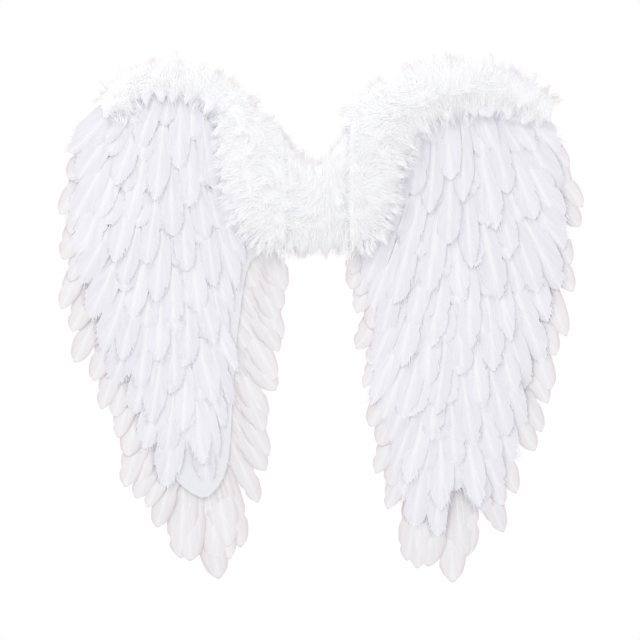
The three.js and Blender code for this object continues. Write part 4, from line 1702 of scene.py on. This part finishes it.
    @staticmethod
    def _fringe_feathers(rows: Sequence[Sequence[float]], width: float) -> list[Feather]:
        """Gives each listed feather of a fringe and a shorter one between each two.

        Args:
            rows: The listed feathers.
            width: Width of them all.

        Returns:
            The feathers in order.
        """
        listed = np.array(rows) * [REACH, HEIGHT, REACH, HEIGHT]
        between = (listed[:-1] + listed[1:]) / 2
        between[:, 2:] += (between[:, :2] - between[:, 2:]) * BETWEEN_TRIM
        ordered = np.empty((len(listed) + len(between), 4))
        ordered[::2], ordered[1::2] = listed, between
        return [Feather((a, b), (c, d), width) for a, b, c, d in ordered]


def dress(node: bpy.types.Object, material: bpy.types.Material) -> None:
    """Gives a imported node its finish.

    Args:
        node: The node.
        material: Its only material from now on.
    """
    node.data.materials.clear()
    node.data.materials.append(material)
    log.info("%s: %s", node.name, material.name)


@dataclass
class Centre:
    """The middle of the pair: the felt panel, its down and the two elastic shoulder loops."""

    strap_width: float = 20 * MM
    strap_thickness: float = 1.5 * MM
    strap_spacing: float = 48 * MM
    strap_depth: float = 115 * MM
    strap_height: float = 96 * MM
    loop_steps: int = 40
    loop_cuts: int = 9              # lines that divide the band's width
    down_tufts: int = 700
    low_overhang: float = 14 * MM   # how far the down hangs past its lower rim

    CREASE = math.radians(40)       # faces of a loop that meet more sharply are not smoothed

    def build(self, frame: dict, finishes: Finishes) -> None:
        """Dresses the panel and makes the loops.

        Args:
            finishes: The wings' materials.
        """
        dress(frame["nodes"]["centre_panel"], finishes.felt)
        for side in Side:
            self._strap(side, finishes)

    def trim(self) -> DownTrim:
        """Gives the panel's roll of down, not built yet."""
        table = np.array(CENTRE_DOWN) * [
            PANEL_WIDTH / 2, PANEL_HEIGHT / 2, PANEL_HEIGHT / 2, DOWN_HEIGHT]
        end = PANEL_WIDTH / 2 + PANEL_LAP
        return DownTrim("centre_down_barbs", "centre_down", table, self._place, self._seat,
                        -end, end, self.down_tufts, seed=31, upright=True,
                        low_overhang=self.low_overhang)

    @staticmethod
    def _place(out: np.ndarray, rise: np.ndarray, depth: np.ndarray) -> np.ndarray:
        """Gives places in the frame over the unturned panel."""
        return np.stack(np.broadcast_arrays(out, depth, rise), axis=-1)

    @staticmethod
    def _seat(out: np.ndarray, rise: np.ndarray) -> np.ndarray:
        """Depth of the panel's front face, on which the down sits."""
        return np.full(np.shape(out), -PANEL_THICKNESS - CLEARANCE)

    def _strap(self, side: Side, finishes: Finishes) -> None:
        """Spins a band into the loop of one shoulder and closes it along the panel.

        Args:
            side: The side of the loop.
            finishes: The wings' materials.
        """
        name = side.name.lower()
        half = (self.strap_height - self.strap_thickness) / 2
        x = side.value * self.strap_spacing / 2
        back = CLEARANCE + self.strap_thickness / 2
        deselect_all()
        bpy.ops.mesh.primitive_plane_add(size=self.strap_width, location=(x, back, half))
        band = bpy.context.object
        bpy.ops.object.transform_apply(location=True, rotation=True, scale=True)
        bpy.ops.object.mode_set(mode="EDIT")
        # The plane shrinks to one edge across the band, which is then spun and closed
        bpy.ops.mesh.select_all(action="SELECT")
        bpy.ops.transform.resize(value=(1, 0, 1), center_override=(x, back, half))
        bpy.ops.mesh.remove_doubles(threshold=TOUCH)
        bpy.ops.mesh.select_all(action="SELECT")
        bpy.ops.mesh.subdivide(number_cuts=self.loop_cuts)
        bpy.ops.mesh.select_all(action="SELECT")
        bpy.ops.mesh.spin(
            steps=self.loop_steps, angle=math.pi, center=(x, back, 0), axis=(1, 0, 0))
        bpy.ops.mesh.select_all(action="SELECT")
        # Reach of the middle of the band's wall from the panel
        depth = self.strap_depth - 1.5 * self.strap_thickness
        bpy.ops.transform.resize(value=(1, depth / half, 1), center_override=(x, back, 0))
        pick(band, lambda co: co.y < back + TOUCH and co.z < 0)
        bpy.ops.mesh.extrude_region_move(TRANSFORM_OT_translate={"value": (0, 0, 2 * half)})
        bpy.ops.mesh.select_all(action="SELECT")
        bpy.ops.mesh.remove_doubles(threshold=TOUCH)
        bpy.ops.mesh.normals_make_consistent(inside=False)
        bpy.ops.object.mode_set(mode="OBJECT")
        self._band_uvs(band, x)
        thicken(band, self.strap_thickness, even=True)
        band.name = band.data.name = f"{name}_elastic_loop"
        band.data.materials.append(finishes.elastic)
        bpy.ops.object.shade_smooth_by_angle(angle=self.CREASE)
        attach(band, BODY)
        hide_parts(f"{name}_strap")
        log.info("%s: %d faces", band.name, len(band.data.polygons))

    def _band_uvs(self, band: bpy.types.Object, x: float) -> None:
        """Draws the UV map of a loop, across the band and round it.

        Args:
            band: The loop.
            x: Where its middle is.
        """
        mesh = band.data
        for old in list(mesh.uv_layers):
            mesh.uv_layers.remove(old)
        layer = mesh.uv_layers.new(name=FeatherPattern.UV_NAME)
        scale = FeatherPattern.UV_SCALE
        mean_radius = (self.strap_depth + self.strap_height / 2) / 2
        for loop in mesh.loops:
            co = mesh.vertices[loop.vertex_index].co
            run = math.atan2(co.z, co.y) * mean_radius
            layer.uv[loop.index].vector = (0.5 + (co.x - x) * scale, 0.5 + run * scale)


@dataclass(frozen=True)
class Studio:
    """A plain pale floor, soft light from above left, and the camera."""

    image_width: int = 640
    metres_per_pixel: float = 1.25 * MM
    origin_column: float = 318.0    # where the photograph has the middle of the pair
    origin_row: float = 205.0
    distance: float = 2.6
    face_depth: float = -0.012      # plane of the feathers at which the scale holds
    sensor: float = 36.0
    floor_height: float = -1.45     # the wings hang at the height of a back
    floor_size: float = 6.0
    floor_sides: int = 64
    key_place: tuple[float, float, float] = (-0.8, -1.35, 1.0)
    key_aim: tuple[float, float, float] = (0.0, 0.0, -0.12)     # the middle of the feathers
    key_energy: float = 4.0
    key_size: float = 0.45
    fill: float = 0.99              # strength of the white surroundings as a light
    bounces: int = 12               # white down passes light on many times

    def build(self) -> None:
        """Sets up the camera, the lights and the floor."""
        scene = bpy.context.scene
        scene.view_settings.view_transform = "Standard"
        scene.cycles.max_bounces = scene.cycles.diffuse_bounces = self.bounces
        centre = self.image_width / 2
        x = (centre - self.origin_column) * self.metres_per_pixel
        z = (self.origin_row - centre) * self.metres_per_pixel
        data = bpy.data.cameras.new("camera")
        data.sensor_width = self.sensor
        span = self.image_width * self.metres_per_pixel
        data.lens = self.sensor * (self.distance + self.face_depth) / span
        camera = bpy.data.objects.new("camera", data)
        camera.location = (x, -self.distance, z)
        camera.rotation_euler = (math.pi / 2, 0, 0)
        scene.collection.objects.link(camera)
        scene.camera = camera
        self._floor()
        self._key()
        self._surroundings()

    def _floor(self) -> None:
        """Lays the floor."""
        deselect_all()
        bpy.ops.mesh.primitive_circle_add(
            vertices=self.floor_sides, radius=self.floor_size / 2, fill_type="NGON",
            location=(0, 0, self.floor_height))
        floor = bpy.context.object
        bpy.ops.object.transform_apply(location=True)
        floor.name = "floor"
        floor.data.materials.append(PlainFinish(
            "matt_white_paint", "#F6F6F6", "#F1F1F1", 0.9, 1.5,
            grain=30 * MM, bump_depth=0.05 * MM).material())

    def _key(self) -> None:
        """Adds the soft square key light, which looks at the wings."""
        data = bpy.data.lights.new("key", "AREA")
        data.energy = self.key_energy
        data.size = self.key_size
        light = bpy.data.objects.new("key", data)
        light.location = self.key_place
        aim = Vector(self.key_aim) - Vector(self.key_place)
        light.rotation_euler = aim.to_track_quat("-Z", "Y").to_euler()
        bpy.context.scene.collection.objects.link(light)

    def _surroundings(self) -> None:
        """Makes even surroundings that look pure white."""
        world = bpy.data.worlds.new("studio")
        bpy.context.scene.world = world
        world.use_nodes = True
        world.node_tree.nodes.clear()
        path = add_node(world, "ShaderNodeLightPath")
        strength = add_node(world, "ShaderNodeMapRange", inputs={
            "Value": path.outputs["Is Camera Ray"], "To Min": self.fill, "To Max": 1.0})
        background = add_node(world, "ShaderNodeBackground", inputs={
            "Color": (1, 1, 1, 1), "Strength": strength.outputs["Result"]})
        add_node(world, "ShaderNodeOutputWorld",
                 inputs={"Surface": background.outputs["Background"]})


@dataclass
class AngelWings:
    """The whole pair."""

    def build(self, frame: dict) -> None:
        """Builds the studio, the centre and both wings.
        """
        Studio().build()
        finishes = Finishes.made()
        centre = Centre()
        centre.build(frame, finishes)
        wings = (
            Wing(Side.LEFT, LEFT_COVERTS, 88 * MM, 28 * MM, LEFT_OUTER, LEFT_INNER, LEFT_TIP,
                 LEFT_DOWN, down_tufts=1050, seed=100, loose=0.14, wisps=110),
            Wing(Side.RIGHT, RIGHT_COVERTS, 104 * MM, 31 * MM, RIGHT_OUTER, RIGHT_INNER, RIGHT_TIP,
                 RIGHT_DOWN, down_tufts=1350, seed=200, loose=0.28, wisps=60),
        )
        for wing in wings:
            wing.build(frame, finishes)
        trims = [centre.trim()] + [wing.trim(frame) for wing in wings]
        cores = [trim.core(frame, finishes) for trim in trims]
        for trim in trims:
            trim.comb(cores, finishes)


def main() -> None:
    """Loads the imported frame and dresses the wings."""
    logging.basicConfig(level=logging.INFO, format="%(message)s")
    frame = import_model()
    AngelWings().build(frame)


if __name__ == "__main__":
    main()
